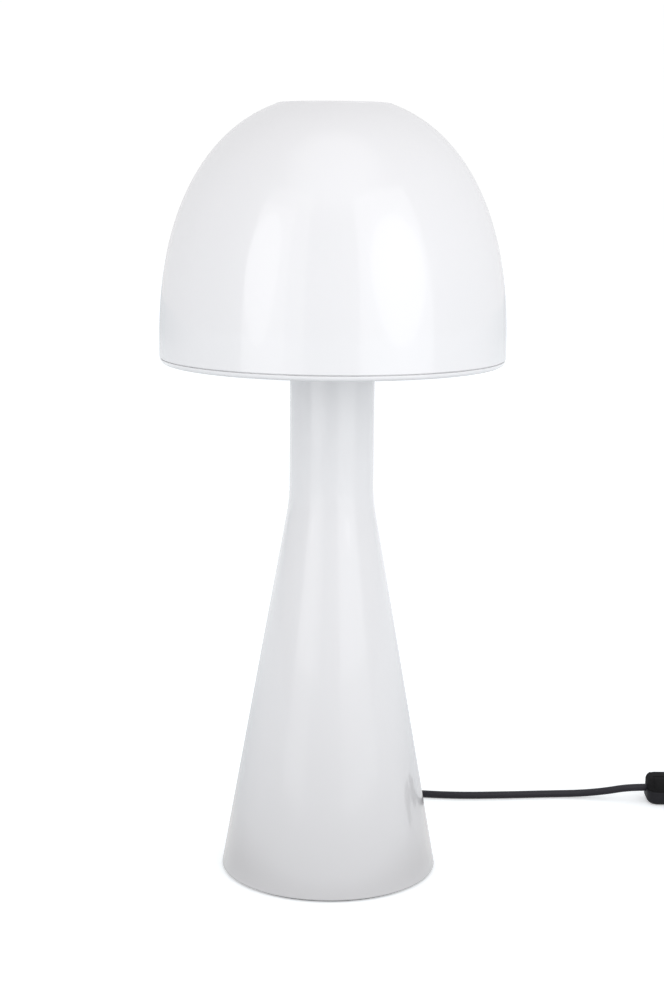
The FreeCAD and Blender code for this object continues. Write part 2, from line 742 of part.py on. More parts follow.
def build_bulb():
    """A screw-in bulb: opal globe, housing, LED board, cap, insulator and tip contact."""
    outer = doc.addObject("Part::Sphere", "GlobeOuter")
    bind(outer, Radius="bulb_radius")
    place(outer, z="globe_centre")
    inner = doc.addObject("Part::Sphere", "GlobeInner")
    bind(inner, Radius="bulb_radius - bulb_wall")
    place(inner, z="globe_centre")
    below = cylinder("GlobeBelow", "2 * bulb_radius", "2 * bulb_radius", z="globe_bottom - 2 * bulb_radius")
    keep("bulb_globe", cut("BulbGlobe", outer, inner, below))
    keep("bulb_housing", lathe("BulbHousing", [
        ("bulb_cap_radius - bulb_cap_wall", "housing_bottom"),
        ("bulb_cap_radius", "housing_bottom"),
        ("housing_waist_radius", "housing_bottom + globe_cut_height"),
        ("housing_shoulder_radius", "globe_bottom - globe_cut_height"),
        ("globe_edge_radius", "globe_bottom"),
        ("globe_edge_radius - 2 * bulb_wall", "globe_bottom"),
        ("housing_shoulder_radius - 2 * bulb_wall", "globe_bottom - globe_cut_height"),
        ("housing_waist_radius - 2 * bulb_wall", "housing_bottom + globe_cut_height"),
    ]))
    keep("led_board", lathe("LedBoard", [
        ("0", "globe_bottom - globe_cut_height"),
        ("led_board_radius", "globe_bottom - globe_cut_height"),
        ("led_board_radius", "globe_bottom - globe_cut_height + led_board_thickness"),
        ("0", "globe_bottom - globe_cut_height + led_board_thickness"),
    ]))
    keep("bulb_cap", lathe("BulbCap", [
        ("bulb_cap_radius - bulb_cap_wall", "cap_bottom"),
        ("bulb_cap_radius", "cap_bottom"),
        ("bulb_cap_radius", "housing_bottom"),
        ("bulb_cap_radius - bulb_cap_wall", "housing_bottom"),
    ]))
    keep("bulb_insulator", lathe("BulbInsulator", [
        ("0", "insulator_bottom"),
        ("bulb_tip_radius", "insulator_bottom"),
        ("bulb_cap_radius", "cap_bottom"),
        ("0", "cap_bottom"),
    ]))
    keep("bulb_tip", lathe("BulbTip", [
        ("0", "bulb_bottom"),
        ("bulb_tip_radius / 2", "bulb_bottom"),
        ("bulb_tip_radius", "insulator_bottom"),
        ("0", "insulator_bottom"),
    ]))


def corner_arcs(points, bend_radius=None):
    """Straight runs joined by tangent arcs: the edges of the path and the arcs' radii."""
    edges = []
    radii = []
    start = points[0]
    for before, corner, after in zip(points, points[1:], points[2:]):
        arriving = corner - before
        leaving = after - corner
        shorter = min(arriving.Length, leaving.Length)
        half_turn = arriving.getAngle(leaving) / 2
        trim = 0.45 * shorter
        radius = trim / math.tan(half_turn)
        if bend_radius is not None:
            radius = bend_radius
            trim = radius * math.tan(half_turn)
        arriving.normalize()
        leaving.normalize()
        first = corner - arriving * trim
        last = corner + leaving * trim
        inward = (leaving - arriving).normalize()
        middle = corner + inward * (radius / math.cos(half_turn) - radius)
        edges.append(Part.LineSegment(start, first).toShape())
        edges.append(Part.Arc(first, middle, last).toShape())
        radii.append(radius)
        start = last
    edges.append(Part.LineSegment(start, points[-1]).toShape())
    return edges, radii


def swept(edges, radius):
    """A round tube along a path."""
    path = Part.Wire(edges)
    start = edges[0].valueAt(edges[0].FirstParameter)
    direction = edges[0].tangentAt(edges[0].FirstParameter)
    section = Part.Wire([Part.Circle(start, direction, radius).toShape()])
    tube = path.makePipeShell([section], True, False)
    expected = math.pi * radius ** 2 * path.Length
    if abs(tube.Volume / expected - 1) > 0.01:
        raise RuntimeError("a tube's volume is off: %.1f against %.1f" % (tube.Volume, expected))
    return tube, path.Length


def cord_stretch(label, name, points):
    """A free stretch of the cord, along points chosen by hand."""
    edges, radii = corner_arcs([FreeCAD.Vector(*point) for point in points])
    tube, length = swept(edges, value("cord_radius"))
    print("%s: length %.1f, radii %s" % (label, length, ", ".join("%.0f" % radius for radius in radii)))
    return keep(label, solid_feature(name, tube))


def build_gland_and_inner_lead():
    """The rubber bush in the shell's back, and the lead from it up the tie tube."""
    blank = lathe("GlandBlank", [
        ("gland_bore_radius", "0"),
        ("gland_flange_radius", "0"),
        ("gland_flange_radius", "gland_grip_depth + gland_flange_thickness"),
        ("gland_root_radius", "gland_grip_depth + gland_flange_thickness"),
        ("gland_tip_radius", "gland_grip_depth + gland_length"),
        ("gland_bore_radius", "gland_grip_depth + gland_length"),
    ])
    place(blank, y="gland_y - gland_grip_depth", z="gland_height", **ALONG_Y)
    shell = doc.getObjectsByLabel("stand_shell")[0]
    keep("cord_gland", cut("CordGland", blank, shell))
    height = value("gland_height")
    top = value("inner_lead_top")
    edges, radii = corner_arcs([
        FreeCAD.Vector(0, value("gland_tip"), height),
        FreeCAD.Vector(0, 0, height),
        FreeCAD.Vector(0, 0, top),
    ], value("inner_bend_radius"))
    lead, length = swept(edges, value("cord_radius"))
    print("inner_lead: length %.1f, radius %.0f" % (length, radii[0]))
    keep("inner_lead", solid_feature("InnerLead", lead))
    core_radius = value("cord_core_radius")
    screw_x = value("terminal_spacing") / 2
    screw_bottom = value("holder_cap_top") - value("terminal_screw_length") - value("terminal_head_height")
    cores = []
    for side in (1, -1):
        rise = (screw_bottom - top) / 3
        points = [
            FreeCAD.Vector(side * (core_radius + 0.1), 0, top),
            FreeCAD.Vector(side * (core_radius + 0.1), 0, top + rise),
            FreeCAD.Vector(side * screw_x, 0, top + 2 * rise),
            FreeCAD.Vector(side * screw_x, 0, screw_bottom),
        ]
        cores.append(swept(corner_arcs(points)[0], core_radius)[0])
    keep("lead_cores", solid_feature("LeadCores", Part.Compound(cores)))


def posts(name, radius, bottom, height):
    """Two upright cylinders at the switch's screws."""
    made = []
    spots = (("-switch_screw_x", "switch_screw_y"), ("switch_screw_x", "-switch_screw_y"))
    for number, (x, y) in enumerate(spots):
        made.append(cylinder("%s%d" % (name, number), radius, height, x=x, y=y, z=bottom))
    return made


def at_switch(thing):
    """Moves a piece from the switch's own frame to where the switch lies."""
    holder = doc.addObject("Part::Compound", thing.Name + "_laid")
    holder.Links = [thing]
    return place(holder, "switch_x", "switch_y")


def entry_bore(name):
    """The bore that the cord goes through at both ends, in the plane where the half shells meet."""
    return cylinder(name, "cord_radius + switch_hole_clearance", "2 * switch_length",
                    x="-switch_length", z="switch_entry_height", **ALONG_X)


def build_switch_shells():
    """The two half shells, which meet at the cord's height and are screwed together from below."""
    base = rounded_slab("SwitchBase", "switch_length", "switch_width", "switch_plan_radius", "switch_split")
    round_edges(base, "switch_edge_radius", level_at(0))
    inside = rounded_slab("SwitchBaseInside", "switch_length - 2 * switch_wall",
                          "switch_width - 2 * switch_wall", "switch_plan_radius - switch_wall",
                          "switch_height", "switch_wall")
    round_edges(inside, "switch_edge_radius - switch_wall", level_at(value("switch_wall")))
    grips = []
    for number, x in enumerate(("grip_face - grip_thickness", "-grip_face")):
        grips.append(block("CordGrip%d" % number, "grip_thickness", "grip_width",
                           "switch_entry_height + cord_radius - switch_wall",
                           x=x, y="-grip_width / 2", z="switch_wall"))
    hollow = cut("SwitchBaseHollow", base, inside, entry_bore("BaseEntry"))
    solid = fuse("SwitchBase", hollow, *grips, *posts("BasePost", "switch_post_radius", "switch_wall / 2",
                                                      "switch_split - switch_wall / 2"))
    drilled = cut("SwitchBaseDrilled", solid,
                  *posts("BaseBore", "switch_screw_radius", "-switch_wall", "2 * switch_split"),
                  *posts("HeadBore", "switch_head_radius", "-switch_wall",
                         "switch_wall + switch_head_height"))
    keep("switch_base", at_switch(drilled))

    cover = rounded_slab("SwitchCover", "switch_length", "switch_width", "switch_plan_radius",
                         "switch_height - switch_split", "switch_split")
    round_edges(cover, "switch_crown_radius", level_at(value("switch_height")))
    inside = rounded_slab("SwitchCoverInside", "switch_length - 2 * switch_wall",
                          "switch_width - 2 * switch_wall", "switch_plan_radius - switch_wall",
                          "switch_height - switch_wall")
    round_edges(inside, "switch_crown_radius - switch_wall",
                level_at(value("switch_height") - value("switch_wall")))
    window = block("RockerWindow", "window_length", "window_width", "switch_height",
                   x="-window_length / 2", y="-window_width / 2", z="switch_split")
    cheeks = []
    for number, y in enumerate(("window_width / 2", "-cheek_outer")):
        cheeks.append(block("PivotCheek%d" % number, "6 * pivot_pin_radius", "cheek_thickness",
                            "switch_height - switch_wall - rocker_pivot_height + 3 * pivot_pin_radius",
                            x="-3 * pivot_pin_radius", y=y,
                            z="rocker_pivot_height - 3 * pivot_pin_radius"))
    opened = cut("SwitchCoverOpened", cover, inside, window, entry_bore("CoverEntry"))
    solid = fuse("SwitchCover", opened, *cheeks,
                 *posts("CoverPost", "switch_post_radius", "switch_split",
                        "switch_height - switch_split - 0.9 * switch_wall"))
    pin_bore = cylinder("PinBore", "pivot_pin_radius", "2 * cheek_outer",
                        y="-cheek_outer", z="rocker_pivot_height", **ALONG_Y)
    drilled = cut("SwitchCoverDrilled", solid, pin_bore,
                  *posts("CoverBore", "switch_screw_radius", "0", "switch_height - switch_wall"))
    keep("switch_cover", at_switch(drilled))

    screws = []
    heads = posts("ScrewHead", "switch_head_radius", "switch_head_height / 4", "3 * switch_head_height / 4")
    shanks = posts("ScrewShank", "switch_screw_radius", "switch_head_height",
                   "switch_height - switch_wall - 2 * switch_head_height")
    for number, (head, shank) in enumerate(zip(heads, shanks)):
        screws.append(fuse("SwitchScrew%d" % number, head, shank))
    keep("switch_screws", at_switch(group("SwitchScrews", screws)))


def build_rocker():
    """The dished rocker on its pin, at rest with its outer end up, and the contacts below it."""
    half = "(window_length / 2 - rocker_end_gap)"
    crown = "(switch_height - rocker_pivot_height)"
    profile = [
        ("-%s" % half, "%s + rocker_dish" % crown),
        ("-%s" % half, "0"),
        ("-%s / 2" % half, "-rocker_belly"),
        ("%s / 2" % half, "-rocker_belly"),
        (half, "0"),
        (half, "%s + rocker_dish" % crown),
        ("0", crown),
    ]
    rocker = slab("Rocker", profile, "window_width - 2 * rocker_side_gap")
    bore = cylinder("RockerBore", "pivot_pin_radius + pivot_running_gap", "2 * window_width",
                    y="-window_width", **ALONG_Y)
    bored = cut("Rocker", rocker, bore)
    strip = slab("RockerStrip", [
        ("-%s / 2" % half, "-rocker_belly"),
        ("-%s / 2" % half, "-(rocker_belly + contact_sheet)"),
        ("%s / 2" % half, "-(rocker_belly + contact_sheet)"),
        ("%s / 2" % half, "-rocker_belly"),
    ], "contact_width")
    for label, thing in (("switch_rocker", bored), ("rocker_contact", strip)):
        tilted = doc.addObject("Part::Compound", thing.Name + "_tilted")
        tilted.Links = [thing]
        place(tilted, "switch_x", "switch_y", "rocker_pivot_height", (0, 1, 0), -value("rocker_tilt"))
        keep(label, tilted)
    keep("rocker_pin", cylinder("RockerPin", "pivot_pin_radius", "2 * cheek_outer", "switch_x",
                                "switch_y - cheek_outer", "rocker_pivot_height", **ALONG_Y))


def build_switch_contacts():
    """Two brass posts that the rocker's strip bridges, and the cores between the grips."""
    contacts = []
    for number, x in enumerate(("window_length / 4", "-window_length / 4 - contact_sheet")):
        contacts.append(block("SwitchPost%d" % number, "contact_sheet", "contact_width",
                              "rocker_pivot_height - rocker_belly - switch_wall - 4 * contact_sheet",
                              x=x, y="-contact_width / 2", z="switch_wall"))
    keep("switch_contacts", at_switch(group("SwitchContacts", contacts)))
    left = "-grip_face + grip_thickness"
    reach = "grip_face - grip_thickness - window_length / 4 - contact_sheet"
    runs = (
        (left, "2 * (grip_face - grip_thickness)", "-contact_width + cord_core_radius / 2"),
        (left, reach, "0"),
        ("window_length / 4 + contact_sheet", reach, "0"),
    )
    cores = []
    for number, (x, length, y) in enumerate(runs):
        cores.append(cylinder("SwitchCore%d" % number, "cord_core_radius", length, x=x, y=y,
                              z="switch_wall + 3 * cord_core_radius", **ALONG_X))
    keep("switch_cores", at_switch(group("SwitchCores", cores)))


def biarc(first, first_way, last, last_way):
    """Two arcs that leave the first point and reach the last one along the given directions."""
    step = last - first
    ways = first_way + last_way
    turn = 2 * (1 - first_way.dot(last_way))
    reach = (-step.dot(ways) + math.sqrt(step.dot(ways) ** 2 + turn * step.dot(step))) / turn
    near_point = first + first_way * reach
    far_point = last - last_way * reach
    joint = (near_point + far_point) * 0.5
    edges = []
    for start, corner, end in ((first, near_point, joint), (joint, far_point, last)):
        chord = end - start
        half = chord.Length / 2
        outward = corner - (start + end) * 0.5
        angle = math.atan2(outward.Length, half)
        outward.normalize()
        middle = (start + end) * 0.5 + outward * (half * math.tan(angle / 2))
        edges.append(Part.Arc(start, middle, end).toShape())
    return edges


def coil_point(quarter, centre, quarters_in):
    """Where the coil's centreline is after some quarter turns, and which way it runs there."""
    pitch = value("coil_pitch")
    inner = value("coil_inner_radius")
    radius = inner + pitch * abs(quarter - quarters_in) / 4
    low, high = value("coil_low"), value("coil_high")
    climb = (quarter - COIL_CLIMB_START) / (COIL_CLIMB_END - COIL_CLIMB_START)
    height = low + (high - low) * min(max(climb, 0.0), 1.0)
    angle = math.pi / 2 - quarter * math.pi / 2
    out = FreeCAD.Vector(math.cos(angle), math.sin(angle), 0)
    along = FreeCAD.Vector(math.sin(angle), -math.cos(angle), 0)
    growth = 0.0 if quarter == quarters_in else math.copysign(pitch / (2 * math.pi), quarter - quarters_in)
    if quarter in (0, COIL_QUARTERS):
        growth = 0.0
    rise = (high - low) / ((COIL_CLIMB_END - COIL_CLIMB_START) * math.pi / 2)
    if not COIL_CLIMB_START < quarter < COIL_CLIMB_END:
        rise = 0.0
    way = along * radius + out * growth + FreeCAD.Vector(0, 0, rise)
    return FreeCAD.Vector(*centre, height) + out * radius, way.normalize()


def build_coil(entry_y):
    """The put-away length: two layers, spiralling in and then out on top."""
    quarters_in = COIL_QUARTERS // 2
    outer = value("coil_inner_radius") + value("coil_pitch") * quarters_in / 4
    centre = (value("coil_x"), entry_y - outer)
    stops = [coil_point(quarter, centre, quarters_in) for quarter in range(COIL_QUARTERS + 1)]
    diameter = 2 * value("cord_radius")
    start, start_way = stops[0]
    end, end_way = stops[-1]
    edges = [Part.LineSegment(start - start_way * diameter, start).toShape()]
    for (first, first_way), (last, last_way) in zip(stops, stops[1:]):
        edges += biarc(first, first_way, last, last_way)
    edges.append(Part.LineSegment(end, end + end_way * diameter).toShape())
    tube, length = swept(edges, value("cord_radius"))
    samples = []
    for edge in edges:
        for i in range(12):
            share = edge.FirstParameter + (edge.LastParameter - edge.FirstParameter) * i / 12
            samples.append(edge.valueAt(share))
    apart = []
    for i, point in enumerate(samples):
        for j in range(i + 40, len(samples)):
            apart.append(point.distanceToPoint(samples[j]))
    print("cord_coil: length %.1f, least gap to itself %.2f" % (length, min(apart) - diameter))
    keep("cord_coil", solid_feature("CordCoil", tube))
    return centre, outer, stops


def build_coil_tie(centre):
    """A band round all the turns, on the coil's right."""
    inner = "coil_inner_radius - cord_radius - tie_band_slack"
    outer = "coil_inner_radius + %.2f * coil_pitch + cord_radius + tie_band_gap" % (COIL_QUARTERS / 8)
    top = "coil_high + cord_radius + tie_band_gap"
    hoop = slab("TieHoop", [
        (inner + " - tie_band_thickness", "0"),
        (outer + " + tie_band_thickness", "0"),
        (outer + " + tie_band_thickness", top + " + tie_band_thickness"),
        (inner + " - tie_band_thickness", top + " + tie_band_thickness"),
    ], "tie_band_width")
    gap = slab("TieGap", [
        (inner, "tie_band_thickness"),
        (outer, "tie_band_thickness"),
        (outer, top),
        (inner, top),
    ], "2 * tie_band_width")
    ring = cut("CordTie", hoop, gap)
    laid = doc.addObject("Part::Compound", "CordTie_laid")
    laid.Links = [ring]
    laid.Placement = FreeCAD.Placement(FreeCAD.Vector(0, centre[1], 0), FreeCAD.Rotation())
    bind(laid, Placement__Base__x="coil_x")
    keep("cord_tie", laid)


def build_plug(axis_y):
    """A flat two-pin plug with a moulded strain relief, its pins pointing left."""
    body = doc.addObject("PartDesign::Body", "PlugBlank")
    sketch = outline_sketch(body, "PlugBlank_outline", [
        ("-plug_length", "-plug_face_width / 2"),
        ("-(plug_length - plug_length / 4)", "-plug_width / 2"),
        ("-plug_length / 3", "-plug_width / 2"),
        ("0", "-plug_rear_width / 2"),
        ("0", "plug_rear_width / 2"),
        ("-plug_length / 3", "plug_width / 2"),
        ("-(plug_length - plug_length / 4)", "plug_width / 2"),
        ("-plug_length", "plug_face_width / 2"),
    ], "XY_Plane")
    pad = body.newObject("PartDesign::Pad", "PlugBlank_pad")
    pad.Profile = sketch
    bind(pad, Length="plug_thickness")
    thickness = value("plug_thickness")
    round_edges(body, "plug_edge_radius", lambda edge: level_at(0)(edge) or level_at(thickness)(edge))
    relief = lathe("PlugRelief", [
        ("0", "-plug_relief_root_radius"),
        ("plug_relief_root_radius", "-plug_relief_root_radius"),
        ("plug_relief_root_radius", "0"),
        ("plug_relief_tip_radius", "plug_relief_length"),
        ("0", "plug_relief_length"),
    ])
    place(relief, z="plug_axis_height", **ALONG_X)
    moulded = fuse("PlugBody", body, relief)
    pins = []
    sleeves = []
    for number, side in enumerate(("", "-")):
        pin = lathe("PlugPin%d" % number, [
            ("0", "0"),
            ("pin_radius - pin_sleeve_wall", "0"),
            ("pin_radius - pin_sleeve_wall", "pin_sleeve_length"),
            ("pin_radius", "pin_sleeve_length"),
            ("pin_radius", "pin_length - pin_radius / 2"),
            ("pin_radius / 2", "pin_length"),
            ("0", "pin_length"),
        ])
        sleeve = lathe("PlugSleeve%d" % number, [
            ("pin_radius - pin_sleeve_wall", "0"),
            ("pin_radius - pin_sleeve_wall / 3", "0"),
            ("pin_radius - pin_sleeve_wall / 3", "pin_sleeve_length"),
            ("pin_radius - pin_sleeve_wall", "pin_sleeve_length"),
        ])
        for thing in (pin, sleeve):
            place(thing, "-plug_length", side + "pin_spacing / 2", "plug_axis_height", **ALONG_MINUS_X)
        pins.append(pin)
        sleeves.append(sleeve)
    finished = (("plug_body", moulded), ("plug_pins", group("PlugPins", pins)),
                ("plug_sleeves", group("PlugSleeves", sleeves)))
    for label, thing in finished:
        laid = doc.addObject("Part::Compound", thing.Name + "_laid")
        laid.Links = [thing]
        laid.Placement = FreeCAD.Placement(FreeCAD.Vector(0, axis_y, 0), FreeCAD.Rotation())
        bind(laid, Placement__Base__x="plug_x")
        keep(label, laid)


def build_cord():
    """The free cord: to the switch, on to the coil, and to the plug beside it."""
    lying = value("cord_radius")
    entry = value("switch_entry_height")
    switch_x, switch_y = value("switch_x"), value("switch_y")
    grip = value("grip_face")
    cord_stretch("cord_lead", "CordLead", [
        (0, value("gland_tip"), value("gland_height")),
        (0, 118, value("gland_height")),
        (2, 132, 6.4),
        (9.5, 146.5, 3.9),
        (23.5, 157.5, lying),
        (42, 160.5, lying),
        (64, 154, lying),
        (104, 148.4, lying),
        (146, 150.9, lying),
        (186, 155, lying),
        (211, 155.2, 3.6),
        (232, 152.6, 6.6),
        (252, switch_y, entry),
        (switch_x - grip, switch_y, entry),
    ])
    low = value("coil_low")
    coil_x = value("coil_x")
    entry_y = 150.0
    straight = 2 * value("cord_radius")
    cord_stretch("cord_tail", "CordTail", [
        (switch_x + grip, switch_y, entry),
        (348, switch_y, entry),
        (362, 150.3, 7.2),
        (378, entry_y, low),
        (coil_x - straight, entry_y, low),
    ])
    centre, outer, stops = build_coil(entry_y)
    build_coil_tie(centre)
    out_y = centre[1] - outer
    high = value("coil_high")
    plug_axis = value("plug_axis_height")
    tip_x = value("plug_x") + value("plug_relief_length")
    cord_stretch("cord_end", "CordEnd", [
        (coil_x - straight, out_y, high),
        (382.2, out_y, high),
        (369.8, out_y, plug_axis),
        (tip_x, out_y, plug_axis),
    ])
    build_plug(out_y)


build_stand_shell()
build_base_weight()
build_foot_pad()
build_tie()
build_shade_carrier()
build_carrier_buttons()
build_shade_rim_ring()
build_shade_dome()
build_lampholder()
build_bulb()
build_gland_and_inner_lead()
build_switch_shells()
build_rocker()
build_switch_contacts()
build_cord()

doc.recompute()
for thing in doc.Objects:
    if "Invalid" in thing.State or "Error" in thing.State:
        raise RuntimeError("%s failed: %s" % (thing.Name, thing.State))
for thing in nodes:
    if thing.Shape.isNull() or not thing.Shape.isValid():
        raise RuntimeError("%s has no valid shape" % thing.Label)
    if not thing.Shape.Solids:
        raise RuntimeError("%s has no solid" % thing.Label)

os.makedirs("parts", exist_ok=True)
for thing in nodes:
    thing.Shape.exportStep("parts/%s.step" % thing.Label)
print("%d nodes" % len(nodes))
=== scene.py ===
"""Dresses a mushroom table lamp: a white spun dome over a conical stand, with a black cord and a switch."""

import logging
import math
from dataclasses import dataclass, field
from enum import Enum
from typing import Any, Callable, Mapping, Sequence

import bmesh
import bpy
from mathutils import Matrix, Vector


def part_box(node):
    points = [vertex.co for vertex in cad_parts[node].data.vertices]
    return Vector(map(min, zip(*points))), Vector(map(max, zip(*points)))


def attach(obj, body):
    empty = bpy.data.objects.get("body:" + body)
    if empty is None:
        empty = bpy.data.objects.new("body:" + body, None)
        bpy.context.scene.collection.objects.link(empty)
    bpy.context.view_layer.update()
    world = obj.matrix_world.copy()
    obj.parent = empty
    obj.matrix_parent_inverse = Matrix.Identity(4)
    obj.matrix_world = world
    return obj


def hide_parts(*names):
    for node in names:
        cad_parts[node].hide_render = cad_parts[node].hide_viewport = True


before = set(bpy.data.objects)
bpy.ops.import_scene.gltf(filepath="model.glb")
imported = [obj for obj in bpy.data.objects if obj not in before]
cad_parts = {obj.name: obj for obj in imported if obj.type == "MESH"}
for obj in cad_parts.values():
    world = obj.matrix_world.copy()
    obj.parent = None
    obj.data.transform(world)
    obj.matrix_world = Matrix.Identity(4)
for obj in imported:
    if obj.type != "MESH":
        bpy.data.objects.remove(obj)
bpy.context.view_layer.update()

LOG = logging.getLogger("lamp")
MM = 0.001
Point = tuple[float, float, float]
Pair = tuple[float, float]
Outline = list[Pair]
Piece = bpy.types.Object
Finish = bpy.types.Material


class Body(Enum):
    """The bodies that pieces ride on."""

    STAND = "stand"
    SHADE = "shade"
    BULB = "bulb"
    ROCKER = "rocker"


# Node sheets


def operator(operation: str, reflected: bool = False) -> Callable[["Wire", Any], "Wire"]:
    """Makes a Python operator that adds one Math node.

    Args:
        operation: The node's operation.
        reflected: Whether the wire is the second operand.

    Returns:
        The operator's method.
    """
    def method(wire: "Wire", other: Any) -> "Wire":
        """The node's result."""
        first, second = (other, wire) if reflected else (wire, other)
        return wire.sheet.node("ShaderNodeMath", {"operation": operation}, {0: first, 1: second})

    return method


class Wire:
    """A node's output that Python arithmetic can be done on."""

    def __init__(self, sheet: "NodeSheet", socket: bpy.types.NodeSocket) -> None:
        """Keeps the output socket, and the sheet that its node is on."""
        self.sheet = sheet
        self.socket = socket

    __add__, __radd__ = operator("ADD"), operator("ADD", True)
    __sub__, __rsub__ = operator("SUBTRACT"), operator("SUBTRACT", True)
    __mul__, __rmul__ = operator("MULTIPLY"), operator("MULTIPLY", True)
    __truediv__, __rtruediv__ = operator("DIVIDE"), operator("DIVIDE", True)
    __mod__, __gt__ = operator("FLOORED_MODULO"), operator("GREATER_THAN")

    def function(self, operation: str, second: Any = 0.0) -> "Wire":
        """Any other Math operation, such as SINE or FLOOR."""
        return operator(operation)(self, second)


class NodeSheet:
    """A node tree that is written as expressions."""

    def __init__(self, tree: bpy.types.NodeTree) -> None:
        """Keeps the tree that nodes are added to."""
        self.tree = tree

    def node(self, kind: str, settings: Mapping[str, Any] | None = None,
             feeds: Mapping[int | str, Any] | None = None, take: int | str = 0) -> Wire:
        """Adds a node.

        Args:
            kind: The node's type.
            settings: Its own settings, set first.
            feeds: Values or wires for its input sockets, by index or name.
            take: The output socket to return.

        Returns:
            The wire from that output.
        """
        made = self.tree.nodes.new(kind)
        for name, setting in (settings or {}).items():
            setattr(made, name, setting)
        for key, feed in (feeds or {}).items():
            self._feed(made.inputs[key], feed)
        return Wire(self, made.outputs[take]) if len(made.outputs) else Wire(self, made.inputs[0])

    def _feed(self, socket: bpy.types.NodeSocket, feed: Any) -> None:
        """Links a wire to an input, or sets the input's own value."""
        if isinstance(feed, Wire):
            self.tree.links.new(feed.socket, socket)
        else:
            socket.default_value = feed

    def parts(self, vector: Wire) -> tuple[Wire, ...]:
        """The X, Y and Z of a vector."""
        split = self.node("ShaderNodeSeparateXYZ", None, {0: vector})
        return tuple(Wire(self, output) for output in split.socket.node.outputs)

    def rays(self, *kinds: str) -> tuple[Wire, ...]:
        """One for rays of each named kind, such as Is Camera Ray."""
        path = self.tree.nodes.new("ShaderNodeLightPath")
        return tuple(Wire(self, path.outputs[kind]) for kind in kinds)

    def joined(self, x: Any, y: Any, z: Any) -> Wire:
        """A vector from three values."""
        return self.node("ShaderNodeCombineXYZ", None, {0: x, 1: y, 2: z})


class Recipe(NodeSheet):
    """A material's shader tree."""

    def __init__(self, name: str) -> None:
        """Makes the named material with an empty tree.

        Args:
            name: The material's name.
        """
        self.material = bpy.data.materials.new(name)
        self.material.use_nodes = True
        super().__init__(self.material.node_tree)
        self.tree.nodes.clear()

    def place(self) -> Wire:
        """The Object coordinates, in metres."""
        return self.node("ShaderNodeTexCoord", None, None, "Object")

    def along(self) -> Wire:
        """The piece's own UV map."""
        return self.node("ShaderNodeTexCoord", None, None, "UV")

    def stretched(self, vector: Wire, scale: Point) -> Wire:
        """Coordinates with each axis scaled."""
        return self.node("ShaderNodeMapping", {"vector_type": "POINT"}, {0: vector, 3: scale})

    def noise(self, vector: Wire, scale: float, detail: float = 3.0, rough: float = 0.5) -> Wire:
        """Noise from 0 to 1."""
        return self.node("ShaderNodeTexNoise", None,
                         {"Vector": vector, "Scale": scale, "Detail": detail, "Roughness": rough})

    def cells(self, vector: Wire, scale: float) -> Wire:
        """Distance to the nearest of scattered points."""
        return self.node("ShaderNodeTexVoronoi", None, {"Vector": vector, "Scale": scale})

    def between(self, share: Any, low: Wire | Point, high: Wire | Point) -> Wire:
        """A colour between two others."""
        first, second = (end if isinstance(end, Wire) else (*end, 1.0) for end in (low, high))
        return self.node("ShaderNodeMix", {"data_type": "RGBA"}, {0: share, 6: first, 7: second}, 2)

    def span(self, value: Wire, low: float, high: float) -> Wire:
        """A value from 0 to 1 spread over a range."""
        return value * (high - low) + low

    def relief(self, height: Wire, depth: float, strength: float = 1.0, under: Wire | None = None) -> Wire:
        """A bump of the given depth in metres.

        Args:
            height: The pattern, from 0 to 1.
            depth: What a height of 1 stands for.
            strength: How much of it shows.
            under: A bump that this one lies on.

        Returns:
            The bumped normal.
        """
        feeds: dict[int | str, Any] = {"Strength": strength, "Distance": depth, "Height": height}
        if under is not None:
            feeds["Normal"] = under
        return self.node("ShaderNodeBump", None, feeds)

    def surface(self, **sockets: Any) -> Finish:
        """Ends the recipe in a Principled surface.

        Args:
            **sockets: Values or wires, named as the sockets with underscores for spaces.

        Returns:
            The material.
        """
        feeds = {name.replace("_", " "): feed for name, feed in sockets.items()}
        shader = self.node("ShaderNodeBsdfPrincipled", None, feeds)
        self.node("ShaderNodeOutputMaterial", None, {"Surface": shader})
        return self.material


